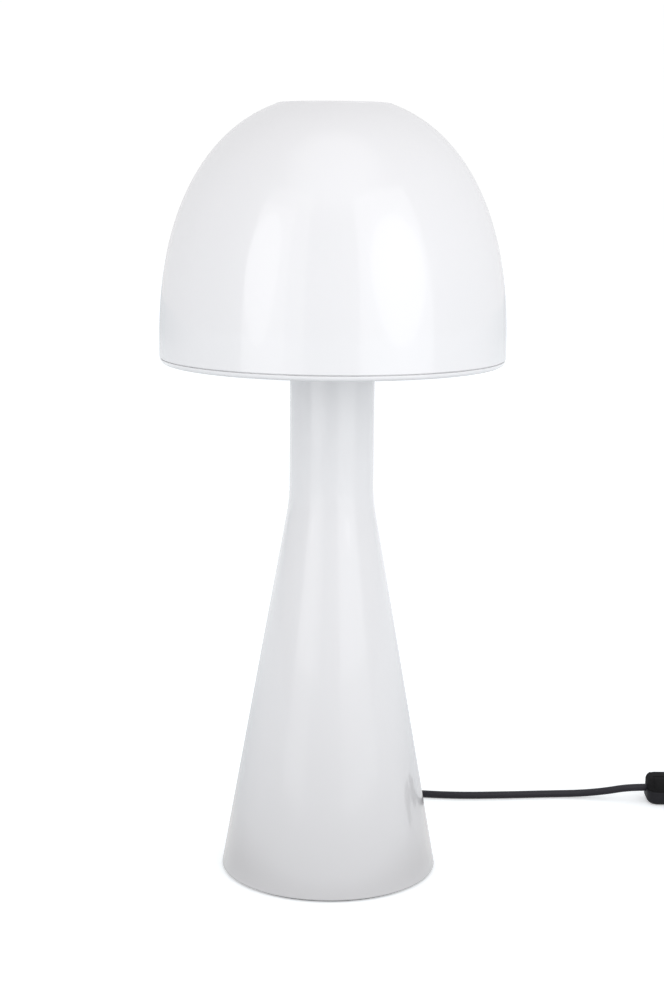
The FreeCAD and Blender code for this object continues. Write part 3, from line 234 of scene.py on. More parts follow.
class Plan(NodeSheet):
    """A geometry tree with named inputs, applied to make plain meshes."""

    def __init__(self, name: str) -> None:
        """Makes the named tree with a geometry in and out.

        Args:
            name: The tree's name.
        """
        super().__init__(bpy.data.node_groups.new(name, "GeometryNodeTree"))
        for side in ("INPUT", "OUTPUT"):
            self.tree.interface.new_socket("Geometry", in_out=side, socket_type="NodeSocketGeometry")
        self.names: dict[str, str] = {}
        self.entry = self.tree.nodes.new("NodeGroupInput")

    def takes(self, **defaults: Any) -> list[Wire]:
        """Adds the named inputs, and one for the material.

        Args:
            **defaults: Each input's starting value, which tells its kind.

        Returns:
            The wires from them, the material's last.
        """
        kinds = {int: "Int", float: "Float", tuple: "Vector", type(None): "Material"}
        for name, default in (*defaults.items(), ("Material", None)):
            kind = "NodeSocket" + kinds[type(default)]
            made = self.tree.interface.new_socket(name, in_out="INPUT", socket_type=kind)
            if default is not None:
                made.default_value = default
            self.names[name] = made.identifier
        return [Wire(self, self.entry.outputs[name]) for name in self.names]

    def geometry(self) -> Wire:
        """The geometry that comes in."""
        return Wire(self, self.entry.outputs["Geometry"])

    def ends(self, geometry: Wire, material: Wire) -> None:
        """Ends the tree in Realize Instances, smooth faces and Set Material.

        Args:
            geometry: What the tree has made.
            material: The wire of its finish.
        """
        real = self.node("GeometryNodeRealizeInstances", None, {0: geometry})
        smooth = self.node("GeometryNodeSetShadeSmooth", None, {0: real})
        dressed = self.node("GeometryNodeSetMaterial", None, {"Geometry": smooth, "Material": material})
        leave = self.tree.nodes.new("NodeGroupOutput")
        self.tree.links.new(dressed.socket, leave.inputs[0])

    def apply(self, obj: Piece, values: Mapping[str, Any]) -> Piece:
        """Runs the tree on an object and leaves a plain mesh.

        Args:
            obj: The object with the starting geometry.
            values: The named inputs.

        Returns:
            The same object, with the made mesh.
        """
        modifier = obj.modifiers.new(self.tree.name, "NODES")
        modifier.node_group = self.tree
        for name, setting in values.items():
            modifier[self.names[name]] = setting
        return settle(obj)


def clamped(wire: Wire) -> Wire:
    """A value held between 0 and 1."""
    return wire.function("MAXIMUM", 0.0).function("MINIMUM", 1.0)


def ramped(wire: Wire, start: Any, width: Any) -> Wire:
    """A value that climbs from 0 to 1 over a width."""
    return clamped((wire - start) / width)


# Meshes


def settle(obj: Piece) -> Piece:
    """Turns an object's evaluated modifiers into its plain mesh.

    Args:
        obj: The object.

    Returns:
        The same object without modifiers.
    """
    bpy.context.view_layer.update()
    graph = bpy.context.evaluated_depsgraph_get()
    made = bpy.data.meshes.new_from_object(obj.evaluated_get(graph), depsgraph=graph)
    obj.modifiers.clear()
    obj.data = made
    return obj


def linked(name: str, mesh: bpy.types.ID) -> Piece:
    """Puts a new object in the scene.

    Args:
        name: The object's name.
        mesh: Its mesh, curve, camera or lamp.

    Returns:
        The object.
    """
    obj = bpy.data.objects.new(name, mesh)
    bpy.context.scene.collection.objects.link(obj)
    return obj


def freed(name: str, sheet: bmesh.types.BMesh, materials: Sequence[Finish]) -> Piece:
    """Turns a bmesh into an object, and frees it.

    Args:
        name: The object's name.
        sheet: The mesh.
        materials: The finishes.

    Returns:
        The object.
    """
    mesh = bpy.data.meshes.new(name)
    sheet.to_mesh(mesh)
    sheet.free()
    for material in materials:
        mesh.materials.append(material)
    return linked(name, mesh)


def mesh_object(name: str, sheet: bmesh.types.BMesh, *materials: Finish) -> Piece:
    """Closes a bmesh into an object with its faces outwards.

    Args:
        name: The object's name.
        sheet: The mesh, which is freed.
        *materials: Its finishes.

    Returns:
        The object.
    """
    bmesh.ops.remove_doubles(sheet, verts=sheet.verts, dist=1e-7)
    bmesh.ops.recalc_face_normals(sheet, faces=sheet.faces)
    return freed(name, sheet, materials)


def shaded(obj: Piece, crease: float = 32.0) -> Piece:
    """Shades an object smooth.

    Args:
        obj: The object.
        crease: The angle past which an edge stays sharp, in degrees.

    Returns:
        The same object.
    """
    obj.data.shade_smooth()
    obj.data.set_sharp_from_angle(angle=math.radians(crease))
    return obj


def bevelled(obj: Piece, width: float, segments: int, angle: float) -> Piece:
    """Rounds an object's edges.

    Args:
        obj: The object.
        width: The bevel's width in millimetres.
        segments: Its segments.
        angle: The angle from which an edge is bevelled, in degrees.

    Returns:
        The object with a plain mesh.
    """
    modifier = obj.modifiers.new("edges", "BEVEL")
    modifier.width = width * MM
    modifier.segments = segments
    modifier.limit_method = "ANGLE"
    modifier.angle_limit = math.radians(angle)
    return settle(obj)


def carved(obj: Piece, *tools: Piece) -> Piece:
    """Cuts tools out of an object and removes them.

    Args:
        obj: The object.
        *tools: The closed tools.

    Returns:
        The object with a plain mesh.
    """
    for tool in tools:
        modifier = obj.modifiers.new("cut", "BOOLEAN")
        modifier.object = tool
        modifier.operation = "DIFFERENCE"
        modifier.solver = "EXACT"
    settle(obj)
    for tool in tools:
        bpy.data.objects.remove(tool)
    return obj


def moved(obj: Piece, matrix: Matrix) -> Piece:
    """Places an object's mesh, so that the object stays at the origin."""
    obj.data.transform(matrix)
    return obj


def shifted(x: float, y: float, z: float) -> Matrix:
    """A move in millimetres."""
    return Matrix.Translation((x * MM, y * MM, z * MM))


def joined(name: str, objs: Sequence[Piece], material: Finish) -> Piece:
    """Joins mesh objects into one.

    Args:
        name: The new object's name.
        objs: The objects, which are removed.
        material: The finish of all of them.

    Returns:
        The joined object.
    """
    sheet = bmesh.new()
    for obj in objs:
        sheet.from_mesh(obj.data)
        bpy.data.objects.remove(obj)
    for face in sheet.faces:
        face.material_index = 0
    return freed(name, sheet, [material])


@dataclass(frozen=True)
class Corner:
    """A corner of an outline, in millimetres, with the radius that softens it."""

    r: float
    z: float
    soft: float = 0.0


def sides(corners: Sequence[Corner], number: int) -> tuple[Vector, Vector, Vector]:
    """Finds the two sides that meet at a corner.

    Args:
        corners: The outline's corners, in order.
        number: The corner's number.

    Returns:
        Its place, and the directions to the corner before and the one after.
    """
    before, corner, after = (corners[(number + step) % len(corners)] for step in (-1, 0, 1))
    here = Vector((corner.r, corner.z))
    back, ahead = ((Vector((other.r, other.z)) - here).normalized() for other in (before, after))
    return here, back, ahead


def softened(corners: Sequence[Corner], steps: int = 6, closed: bool = True) -> Outline:
    """Rounds the corners of an outline.

    Args:
        corners: The corners in order.
        steps: Segments in each rounding.
        closed: Whether the last corner joins the first.

    Returns:
        The outline's points, in millimetres.
    """
    points: Outline = []
    for number, corner in enumerate(corners):
        here, back, ahead = sides(corners, number)
        if corner.soft <= 0 or (not closed and number in (0, len(corners) - 1)):
            points.append((here.x, here.y))
            continue
        half = back.angle(ahead) / 2
        trim = corner.soft / math.tan(half)
        centre = here + (back + ahead).normalized() * (corner.soft / math.sin(half))
        first, last = here + back * trim - centre, here + ahead * trim - centre
        turn = first.angle_signed(last)
        for step in range(steps + 1):
            spoke = first.copy()
            spoke.rotate(Matrix.Rotation(-turn * step / steps, 2))
            points.append((centre.x + spoke.x, centre.y + spoke.y))
    return points


def drawn_in(corners: Sequence[Corner], amount: float, least: float = 0.3) -> list[Corner]:
    """Draws a bulging outline's corners in by an amount.

    Args:
        corners: The corners in order.
        amount: How far each side moves inwards.
        least: The least radius that softens a corner.

    Returns:
        The new corners.
    """
    made: list[Corner] = []
    for number, corner in enumerate(corners):
        here, back, ahead = sides(corners, number)
        spot = here + (back + ahead).normalized() * (amount / math.sin(back.angle(ahead) / 2))
        made.append(Corner(spot.x, spot.y, max(corner.soft - amount, least)))
    return made


def eased(name: str, node: str, width: float, material: Finish) -> Piece:
    """A solid's form with its edges rounded.

    Args:
        name: The new piece's name.
        node: The solid.
        width: The rounding, in millimetres.
        material: Its finish.

    Returns:
        The piece.
    """
    sheet = bmesh.new()
    sheet.from_mesh(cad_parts[node].data)
    bmesh.ops.remove_doubles(sheet, verts=sheet.verts, dist=1e-6)
    bmesh.ops.dissolve_limit(sheet, angle_limit=math.radians(0.5), verts=sheet.verts, edges=sheet.edges)
    return shaded(bevelled(mesh_object(name, sheet, material), width, 2, 38.0))


def spin_plan() -> Plan:
    """A tree that spins the points of an outline into a closed skin.

    Returns:
        The tree, with inputs Steps, Closed and Material.
    """
    plan = Plan("spun_form")
    steps, closed, material = plan.takes(Steps=160, Closed=1)
    outline = plan.geometry()
    count = plan.node("GeometryNodeAttributeDomainSize", {"component": "MESH"}, {0: outline})
    rows = count + closed
    grid = plan.node("GeometryNodeMeshGrid", None, {"Vertices X": steps + 1, "Vertices Y": rows})
    index = plan.node("GeometryNodeInputIndex")
    row = (index % rows) % count
    angle = (index / rows).function("FLOOR") / steps * math.tau
    position = plan.node("GeometryNodeInputPosition")
    profile = plan.node("GeometryNodeSampleIndex", {"data_type": "FLOAT_VECTOR", "domain": "POINT"},
                        {"Geometry": outline, "Value": position, "Index": row})
    radius, _, height = plan.parts(profile)
    spot = plan.joined(radius * angle.function("COSINE"), radius * angle.function("SINE"), height)
    skin = plan.node("GeometryNodeSetPosition", None, {"Geometry": grid, "Position": spot})
    whole = plan.node("GeometryNodeMergeByDistance", None, {"Geometry": skin, "Distance": 1e-6})
    plan.ends(whole, material)
    return plan


def thread_plan() -> Plan:
    """A tree that rolls a round thread into a spun tube.

    Returns:
        The tree, with inputs Pitch, Depth, Low, High, Fade and Material.
    """
    plan = Plan("rolled_thread")
    pitch, depth, low, high, fade, material = plan.takes(
        Pitch=0.0036, Depth=0.0004, Low=0.0, High=0.1, Fade=0.002)
    x, y, z = plan.parts(plan.node("GeometryNodeInputPosition"))
    turn = y.function("ARCTAN2", x) / math.tau
    wave = ((z / pitch - turn) * math.tau).function("COSINE") * 0.5 - 0.5
    inside = ramped(z, low, fade) * clamped((high - z) / fade)
    push = wave * depth * inside / (x * x + y * y).function("SQRT")
    offset = plan.joined(x * push, y * push, 0.0)
    rolled = plan.node("GeometryNodeSetPosition", None, {"Geometry": plan.geometry(), "Offset": offset})
    plan.ends(rolled, material)
    return plan


def ribs_plan() -> Plan:
    """A tree that repeats a round rib along the Z axis, each a little smaller than the last.

    Returns:
        The tree, with inputs Count, Start, Step, Radius, Taper, Thickness and Material.
    """
    plan = Plan("row_of_ribs")
    count, start, step, radius, taper, thickness, material = plan.takes(
        Count=8, Start=0.0, Step=0.002, Radius=0.005, Taper=0.0, Thickness=0.0005)
    first, apart = (plan.joined(0.0, 0.0, along) for along in (start, step))
    line = plan.node("GeometryNodeMeshLine", None,
                     {"Count": count, "Start Location": first, "Offset": apart})
    path, section = (
        plan.node("GeometryNodeCurvePrimitiveCircle", None, {"Resolution": around, "Radius": size})
        for around, size in ((48, radius), (10, thickness)))
    rib = plan.node("GeometryNodeCurveToMesh", None, {"Curve": path, "Profile Curve": section})
    size = 1.0 - plan.node("GeometryNodeInputIndex") * taper
    row = plan.node("GeometryNodeInstanceOnPoints", None, {
        "Points": line, "Instance": rib, "Scale": plan.joined(size, size, 1.0)})
    plan.ends(row, material)
    return plan


def wreath_plan() -> Plan:
    """A tree that repeats the incoming shape round a circle.

    Returns:
        The tree, with inputs Count, Radius, Height and Material.
    """
    plan = Plan("wreath")
    count, radius, height, material = plan.takes(Count=12, Radius=0.01, Height=0.0)
    ring = plan.node("GeometryNodeMeshCircle", {"fill_type": "NONE"}, {"Vertices": count, "Radius": radius})
    lifted = plan.node("GeometryNodeTransform", None, {
        "Geometry": ring, "Translation": plan.joined(0.0, 0.0, height)})
    turn = plan.joined(0.0, 0.0, plan.node("GeometryNodeInputIndex") / count * math.tau)
    row = plan.node("GeometryNodeInstanceOnPoints", None, {
        "Points": lifted, "Instance": plan.geometry(), "Rotation": turn})
    plan.ends(row, material)
    return plan


def row_plan() -> Plan:
    """A tree that repeats the incoming shape in a straight row.

    Returns:
        The tree, with inputs Count, Start, Step and Material.
    """
    plan = Plan("straight_row")
    count, start, step, material = plan.takes(Count=5, Start=(0.0, 0.0, 0.0), Step=(0.0, 0.0, 0.0))
    line = plan.node("GeometryNodeMeshLine", None, {"Count": count, "Start Location": start, "Offset": step})
    row = plan.node("GeometryNodeInstanceOnPoints", None, {"Points": line, "Instance": plan.geometry()})
    plan.ends(row, material)
    return plan


@dataclass(frozen=True)
class Ribs:
    """A row of round ribs along Z, in millimetres; each loses the taper as a share of the first."""

    count: int
    start: float
    step: float
    radius: float
    thickness: float
    taper: float = 0.0


class Workshop:
    """Makes plain meshes from outlines, tiers and the shared trees."""

    def __init__(self) -> None:
        """Builds the shared trees once."""
        self.spin = spin_plan()
        self.thread = thread_plan()
        self.ribs = ribs_plan()
        self.wreath = wreath_plan()
        self.row = row_plan()

    def spun(self, name: str, outline: Outline, material: Finish, steps: int = 160,
             closed: bool = True, crease: float = 28.0) -> Piece:
        """Spins an outline about the Z axis.

        Args:
            name: The piece's name.
            outline: Radius and height of each point, in millimetres.
            material: Its finish.
            steps: Segments round the axis.
            closed: Whether the outline is a loop.
            crease: The angle past which an edge stays sharp.

        Returns:
            The piece.
        """
        mesh = bpy.data.meshes.new(name)
        mesh.from_pydata([(r * MM, 0.0, z * MM) for r, z in outline], [], [])
        obj = linked(name, mesh)
        self.spin.apply(obj, {"Steps": steps, "Closed": int(closed), "Material": material})
        sheet = bmesh.new()
        sheet.from_mesh(obj.data)
        bmesh.ops.dissolve_degenerate(sheet, dist=1e-7, edges=sheet.edges)
        bmesh.ops.recalc_face_normals(sheet, faces=sheet.faces)
        sheet.to_mesh(obj.data)
        sheet.free()
        return shaded(obj, crease)

    def rolled(self, obj: Piece, material: Finish, low: float, high: float, depth: float = 0.5) -> Piece:
        """Rolls a thread into a spun tube between two heights, in millimetres."""
        self.thread.apply(obj, {"Pitch": 3.6 * MM, "Depth": depth * MM, "Low": low * MM, "High": high * MM,
                                "Fade": 2.0 * MM, "Material": material})
        return shaded(obj, 50.0)

    def ribbed(self, name: str, ribs: Ribs, material: Finish) -> Piece:
        """Makes a row of ribs."""
        obj = linked(name, bpy.data.meshes.new(name))
        return self.ribs.apply(obj, {
            "Count": ribs.count, "Start": ribs.start * MM, "Step": ribs.step * MM, "Taper": ribs.taper,
            "Radius": ribs.radius * MM, "Thickness": ribs.thickness * MM, "Material": material})

    def wreathed(self, obj: Piece, material: Finish, count: int, radius: float, height: float) -> Piece:
        """Repeats an object round the Z axis, in millimetres."""
        return self.wreath.apply(obj, {"Count": count, "Radius": radius * MM, "Height": height * MM,
                                       "Material": material})

    def in_row(self, obj: Piece, material: Finish, count: int, start: Point, step: Point) -> Piece:
        """Repeats an object in a straight row, in millimetres."""
        return self.row.apply(obj, {"Count": count, "Start": [part * MM for part in start],
                                    "Step": [part * MM for part in step], "Material": material})

    def tiered(self, name: str, tiers: Sequence["Tier"], material: Finish, loop: bool = False,
               crease: float = 40.0) -> Piece:
        """Skins a stack of rounded rectangles."""
        return self.stacked(name, [tier.ring() for tier in tiers], material, loop, crease)

    def stacked(self, name: str, levels: Sequence[Sequence[Point]], material: Finish,
                loop: bool = False, crease: float = 40.0) -> Piece:
        """Skins a stack of closed outlines.

        Args:
            name: The piece's name.
            levels: The outlines in order, each with the same number of points, in metres.
            material: Its finish.
            loop: Whether the last outline joins the first; otherwise both ends are capped.
            crease: The angle past which an edge stays sharp.

        Returns:
            The piece.
        """
        sheet = bmesh.new()
        rings = [[sheet.verts.new(point) for point in level] for level in levels]
        count = len(rings[0])
        pairs = list(zip(rings, rings[1:]))
        if loop:
            pairs.append((rings[-1], rings[0]))
        for low, high in pairs:
            for i in range(count):
                j = (i + 1) % count
                sheet.faces.new((low[i], low[j], high[j], high[i]))
        if not loop:
            sheet.faces.new(list(reversed(rings[0])))
            sheet.faces.new(rings[-1])
        return shaded(mesh_object(name, sheet, material), crease)

    def prism(self, name: str, outline: Outline, depth: float, material: Finish) -> Piece:
        """A shape in the XZ plane, given its depth along Y about the plane, in millimetres."""
        levels = [[(x * MM, side * depth * MM, z * MM) for x, z in outline] for side in (-0.5, 0.5)]
        return self.stacked(name, levels, material)


@dataclass(frozen=True)
class Tier:
    """A rounded rectangle at one height, in millimetres."""

    length: float
    width: float
    radius: float
    z: float

    def ring(self, steps: int = 12) -> list[Point]:
        """The rectangle's points, the same number for every tier.

        Args:
            steps: Segments in each corner.

        Returns:
            The points, in metres.
        """
        points: list[Point] = []
        radius = max(self.radius, 0.01)
        for number, (sx, sy) in enumerate(((1, 1), (-1, 1), (-1, -1), (1, -1))):
            cx, cy = sx * (self.length / 2 - radius), sy * (self.width / 2 - radius)
            for step in range(steps + 1):
                angle = math.pi / 2 * (number + step / steps)
                points.append(((cx + radius * math.cos(angle)) * MM, (cy + radius * math.sin(angle)) * MM,
                               self.z * MM))
        return points

    def inset(self, amount: float, z: float) -> "Tier":
        """The same rectangle drawn in by an amount, at another height."""
        return Tier(self.length - 2 * amount, self.width - 2 * amount, max(self.radius - amount, 0.05), z)


# Finishes


@dataclass(frozen=True)
class Look:
    """A finish that makes its own material."""

    name: str

    def make(self) -> Finish:
        """The material."""
        recipe = Recipe(self.name)
        return self.filled(recipe, recipe.place())


@dataclass(frozen=True)
class GlossPaint(Look):
    """Sprayed and baked paint: even, glossy, with a faint orange peel."""

    name: str = "white_gloss_paint"
    colour: Point = (0.864, 0.86, 0.866)
    shade: Point = (0.846, 0.842, 0.85)
    roughness: float = 0.28
    coat: float = 1.0

    def filled(self, recipe: Recipe, place: Wire) -> Finish:
        """Fills the finish's recipe.

        Args:
            recipe: The tree to fill.
            place: Object coordinates.

        Returns:
            The material.
        """
        cloud = recipe.noise(place, 9.0, 2.0)
        peel = recipe.noise(place, 420.0, 2.0, 0.4)
        fine = recipe.noise(place, 1900.0, 1.0, 0.5)
        dust = recipe.cells(place, 230.0).function("LESS_THAN", 0.03)
        tone = recipe.between(cloud, self.shade, self.colour)
        colour = recipe.between(dust * 0.05, tone, (0.5, 0.5, 0.5))
        rough = recipe.span(cloud, self.roughness - 0.03, self.roughness + 0.03) + fine * 0.02
        normal = recipe.relief(peel, 0.000012, 0.6)
        return recipe.surface(Base_Color=colour, Roughness=rough, Normal=normal, Coat_Weight=self.coat,
                              Coat_Roughness=0.05, Coat_IOR=1.6, Specular_IOR_Level=0.3)


@dataclass(frozen=True)
class MouldedPlastic(Look):
    """Injection-moulded plastic with a spark-eroded grain."""

    colour: Point
    roughness: float = 0.45
    grain: float = 2600.0
    depth: float = 0.00005
    marks: float = 0.12
    shine: float = 0.5

    def filled(self, recipe: Recipe, place: Wire) -> Finish:
        """Fills the finish's recipe.

        Args:
            recipe: The tree to fill.
            place: Object coordinates.

        Returns:
            The material.
        """
        flow = recipe.noise(place, 60.0, 4.0)
        grain = recipe.noise(place, self.grain, 2.0, 0.6)
        scuffs = recipe.noise(recipe.stretched(place, (90.0, 900.0, 900.0)), 1.0, 4.0, 0.7)
        rub = (scuffs > 0.66) * self.marks
        lighter = tuple(min(1.0, channel * 1.7 + 0.02) for channel in self.colour)
        darker = tuple(channel * 0.85 for channel in self.colour)
        tone = recipe.between(flow, darker, self.colour)
        colour = recipe.between(rub + grain * 0.12, tone, lighter)
        rough = recipe.span(grain, self.roughness - 0.08, self.roughness + 0.08) + rub * 0.5
        normal = recipe.relief(grain, self.depth, 0.5, recipe.relief(flow, 0.00008, 0.15))
        return recipe.surface(Base_Color=colour, Roughness=rough, Normal=normal,
                              Specular_IOR_Level=self.shine)


@dataclass(frozen=True)
class CordSheath(Look):
    """The cord's extruded sheath: satin black, with faint draw lines along it."""

    name: str = "cord_sheath"
    colour: Point = (0.0115, 0.0105, 0.0145)
    lighter: Point = (0.04, 0.037, 0.05)
    roughness: float = 0.42

    def filled(self, recipe: Recipe, place: Wire) -> Finish:
        """Fills the finish's recipe.

        Args:
            recipe: The tree to fill.
            place: Object coordinates.

        Returns:
            The material.
        """
        lines = recipe.noise(recipe.stretched(recipe.along(), (14.0, 40.0, 1.0)), 1.0, 3.0, 0.6)
        dull = recipe.noise(place, 140.0, 3.0)
        grain = recipe.noise(place, 3200.0, 1.0)
        colour = recipe.between(dull * 0.4 + lines * 0.25, self.colour, self.lighter)
        rough = recipe.span(dull, self.roughness - 0.1, self.roughness + 0.1) + lines * 0.06
        normal = recipe.relief(grain, 0.00003, 0.3, recipe.relief(lines, 0.00006, 0.3))
        return recipe.surface(Base_Color=colour, Roughness=rough, Normal=normal, Specular_IOR_Level=0.3)


@dataclass(frozen=True)
class BareMetal(Look):
    """Plated, rolled or stamped metal with fine marks along one axis."""

    colour: Point
    tarnish: Point
    roughness: float = 0.28
    stroke: Point = (300.0, 300.0, 4000.0)
    age: float = 0.25

    def filled(self, recipe: Recipe, place: Wire) -> Finish:
        """Fills the finish's recipe.

        Args:
            recipe: The tree to fill.
            place: Object coordinates.

        Returns:
            The material.
        """
        marks = recipe.noise(recipe.stretched(place, self.stroke), 1.0, 3.0, 0.6)
        stain = recipe.noise(place, 120.0, 4.0, 0.6)
        patch = (stain > 0.58) * self.age
        colour = recipe.between(patch + stain * 0.1, self.colour, self.tarnish)
        rough = recipe.span(marks, self.roughness - 0.08, self.roughness + 0.1) + patch * 0.3
        return recipe.surface(Base_Color=colour, Roughness=rough, Metallic=1.0,
                              Normal=recipe.relief(marks, 0.00003, 0.4))


@dataclass(frozen=True)
class SandCasting(Look):
    """Black-dipped cast iron with the sand's pitting."""

    name: str = "cast_weight"
    colour: Point = (0.05, 0.05, 0.052)

    def filled(self, recipe: Recipe, place: Wire) -> Finish:
        """Fills the finish's recipe.

        Args:
            recipe: The tree to fill.
            place: Object coordinates.

        Returns:
            The material.
        """
        sand = recipe.noise(place, 700.0, 4.0, 0.7)
        pits = recipe.cells(place, 300.0)
        rust = (recipe.noise(place, 45.0, 5.0, 0.65) > 0.63) * 0.5
        colour = recipe.between(rust, self.colour, (0.13, 0.06, 0.03))
        rough = recipe.span(sand, 0.55, 0.8)
        normal = recipe.relief(sand, 0.0003, 0.6, recipe.relief(pits, 0.0003, 0.4))
        return recipe.surface(Base_Color=colour, Roughness=rough, Normal=normal, Metallic=0.0)


@dataclass(frozen=True)
class Felt(Look):
    """Pressed felt with loose fibres."""

    name: str = "foot_felt"
    colour: Point = (0.045, 0.045, 0.05)
    fibre: Point = (0.12, 0.12, 0.13)

    def filled(self, recipe: Recipe, place: Wire) -> Finish:
        """Fills the finish's recipe.

        Args:
            recipe: The tree to fill.
            place: Object coordinates.

        Returns:
            The material.
        """
        mat = recipe.noise(place, 1400.0, 5.0, 0.75)
        strands = recipe.noise(recipe.stretched(place, (500.0, 2600.0, 1200.0)), 1.0, 4.0, 0.7)
        colour = recipe.between(strands * 0.5 + mat * 0.3, self.colour, self.fibre)
        normal = recipe.relief(strands, 0.0003, 0.7, recipe.relief(mat, 0.0002, 0.6))
        return recipe.surface(Base_Color=colour, Roughness=0.95, Normal=normal, Sheen_Weight=0.4)


@dataclass(frozen=True)
class Opal(Look):
    """Opal diffuser: milky, satin, with faint moulding clouds."""

    name: str = "opal_globe"
    colour: Point = (0.88, 0.88, 0.86)

    def filled(self, recipe: Recipe, place: Wire) -> Finish:
        """Fills the finish's recipe.

        Args:
            recipe: The tree to fill.
            place: Object coordinates.

        Returns:
            The material.
        """
        milk = recipe.noise(place, 30.0, 3.0)
        frost = recipe.noise(place, 2500.0, 1.0)
        colour = recipe.between(milk, (0.84, 0.84, 0.815), self.colour)
        rough = recipe.span(frost, 0.3, 0.42)
        return recipe.surface(Base_Color=colour, Roughness=rough, Subsurface_Weight=0.2,
                              Subsurface_Radius=(1.0, 0.95, 0.9), Subsurface_Scale=0.004,
                              Normal=recipe.relief(frost, 0.00003, 0.4))


@dataclass(frozen=True)
class Steatite(Look):
    """Unglazed holder ceramic with dark flecks."""

    name: str = "holder_ceramic"
    colour: Point = (0.76, 0.75, 0.71)

    def filled(self, recipe: Recipe, place: Wire) -> Finish:
        """Fills the finish's recipe.

        Args:
            recipe: The tree to fill.
            place: Object coordinates.

        Returns:
            The material.
        """
        flecks = recipe.cells(place, 900.0).function("LESS_THAN", 0.12) * 0.4
        grit = recipe.noise(place, 1500.0, 3.0)
        colour = recipe.between(flecks, self.colour, (0.4, 0.38, 0.34))
        return recipe.surface(Base_Color=colour, Roughness=recipe.span(grit, 0.55, 0.75),
                              Normal=recipe.relief(grit, 0.00008, 0.5))


@dataclass(frozen=True)
class CoreInsulation(Look):
    """The two cores' insulation: one colour on each side of a plane."""

    component: int
    level: float
    first: Point = (0.03, 0.09, 0.35)
    second: Point = (0.19, 0.075, 0.03)

    def filled(self, recipe: Recipe, place: Wire) -> Finish:
        """Fills the finish's recipe.

        Args:
            recipe: The tree to fill.
            place: Object coordinates.

        Returns:
            The material.
        """
        side = recipe.parts(place)[self.component] > self.level
        dull = recipe.noise(place, 700.0, 2.0)
        colour = recipe.between(side, self.first, self.second)
        worn = recipe.between(dull * 0.15, colour, (0.4, 0.4, 0.4))
        return recipe.surface(Base_Color=worn, Roughness=recipe.span(dull, 0.35, 0.5),
                              Normal=recipe.relief(dull, 0.00003, 0.3))


class Palette:
    """The lamp's finishes, each made once."""

    def __init__(self) -> None:
        """Makes the materials."""
        self.paint = GlossPaint().make()
        self.inner_paint = GlossPaint("inner_matt_paint", roughness=0.5, coat=0.0).make()
        self.sheath = CordSheath().make()
        self.cover = MouldedPlastic("switch_cover_plastic", (0.0185, 0.0183, 0.019), 0.6, shine=0.015).make()
        self.under = MouldedPlastic("switch_base_plastic", (0.0145, 0.0142, 0.0175), 0.5, shine=0.22).make()
        self.rocker = MouldedPlastic("rocker_plastic", (0.009, 0.009, 0.0095), 0.3, 3600.0, 0.00002,
                                     shine=0.3).make()
        self.mark = MouldedPlastic("rocker_mark", (0.55, 0.55, 0.54), 0.5, marks=0.0).make()
        self.rubber = MouldedPlastic("black_rubber", (0.011, 0.011, 0.012), 0.6, 1800.0, 0.00008,
                                     shine=0.3).make()
        self.button = MouldedPlastic("button_rubber", (0.7, 0.7, 0.68), 0.6, 1500.0, marks=0.05).make()
        self.holder = MouldedPlastic("holder_plastic", (0.72, 0.72, 0.69), 0.35, 2200.0, marks=0.04).make()
        self.housing = MouldedPlastic("bulb_housing_plastic", (0.8, 0.8, 0.79), 0.25, 3000.0,
                                      marks=0.03).make()
        self.glassy = MouldedPlastic("bulb_insulator_glass", (0.02, 0.018, 0.02), 0.12, 900.0,
                                     marks=0.0).make()
        self.board = MouldedPlastic("led_board_mask", (0.8, 0.8, 0.78), 0.4, 2600.0, marks=0.03).make()
        self.phosphor = MouldedPlastic("led_phosphor", (0.75, 0.55, 0.08), 0.3, 4000.0, marks=0.0).make()
        self.zinc = BareMetal("zinc_plating", (0.62, 0.63, 0.63), (0.42, 0.42, 0.4)).make()
        self.screw = BareMetal("screw_plating", (0.66, 0.66, 0.65), (0.4, 0.39, 0.37), 0.25).make()
        self.nickel = BareMetal("nickel_plating", (0.7, 0.69, 0.66), (0.45, 0.43, 0.4), 0.22).make()
        self.brass = BareMetal("stamped_brass", (0.74, 0.55, 0.27), (0.42, 0.27, 0.11), 0.3).make()
        self.iron = SandCasting().make()
        self.felt = Felt().make()
        self.opal = Opal().make()
        self.ceramic = Steatite().make()
        self.lead_cores = CoreInsulation("lead_core_colours", 0, 0.0).make()
        self.switch_cores = CoreInsulation("switch_core_colours", 1, 0.1476).make()


# Sub-assemblies


class SubAssembly:
    """What every sub-assembly shares: tools, sizes, and the pieces that it has placed or dressed."""

    body = Body.STAND

    def __init__(self, workshop: Workshop, palette: Palette, sizes: Any) -> None:
        """Keeps the tools and the sizes.

        Args:
            workshop: Makes the meshes.
            palette: Holds the finishes.
            sizes: The sub-assembly's own sizes.
        """
        self.shop = workshop
        self.looks = palette
        self.sizes = sizes
        self.pieces: list[Piece] = []

    def place(self, piece: Piece, slot: str, *nodes: str, body: Body | None = None) -> Piece:
        """Rides a piece on its body and hides the solids that it stands for.

        Args:
            piece: The finished piece.
            slot: The record's material slot. Not used.
            *nodes: The solids that it replaces.
            body: Its body, if not the sub-assembly's own.

        Returns:
            The piece.
        """
        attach(piece, (body or self.body).value)
        if nodes:
            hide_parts(*nodes)
        LOG.info("placed %s on %s", piece.name, (body or self.body).value)
        self.pieces.append(piece)
        return piece

    def dress(self, material: Finish, *nodes: str) -> None:
        """Gives solids that stay as they are their finish.

        Args:
            material: The finish.
            *nodes: The solids.
        """
        for node in nodes:
            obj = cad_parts[node]
            if not obj.material_slots:
                obj.data.materials.append(material)
            for slot in obj.material_slots:
                slot.material = material
            LOG.info("dressed %s", node)
            self.pieces.append(obj)


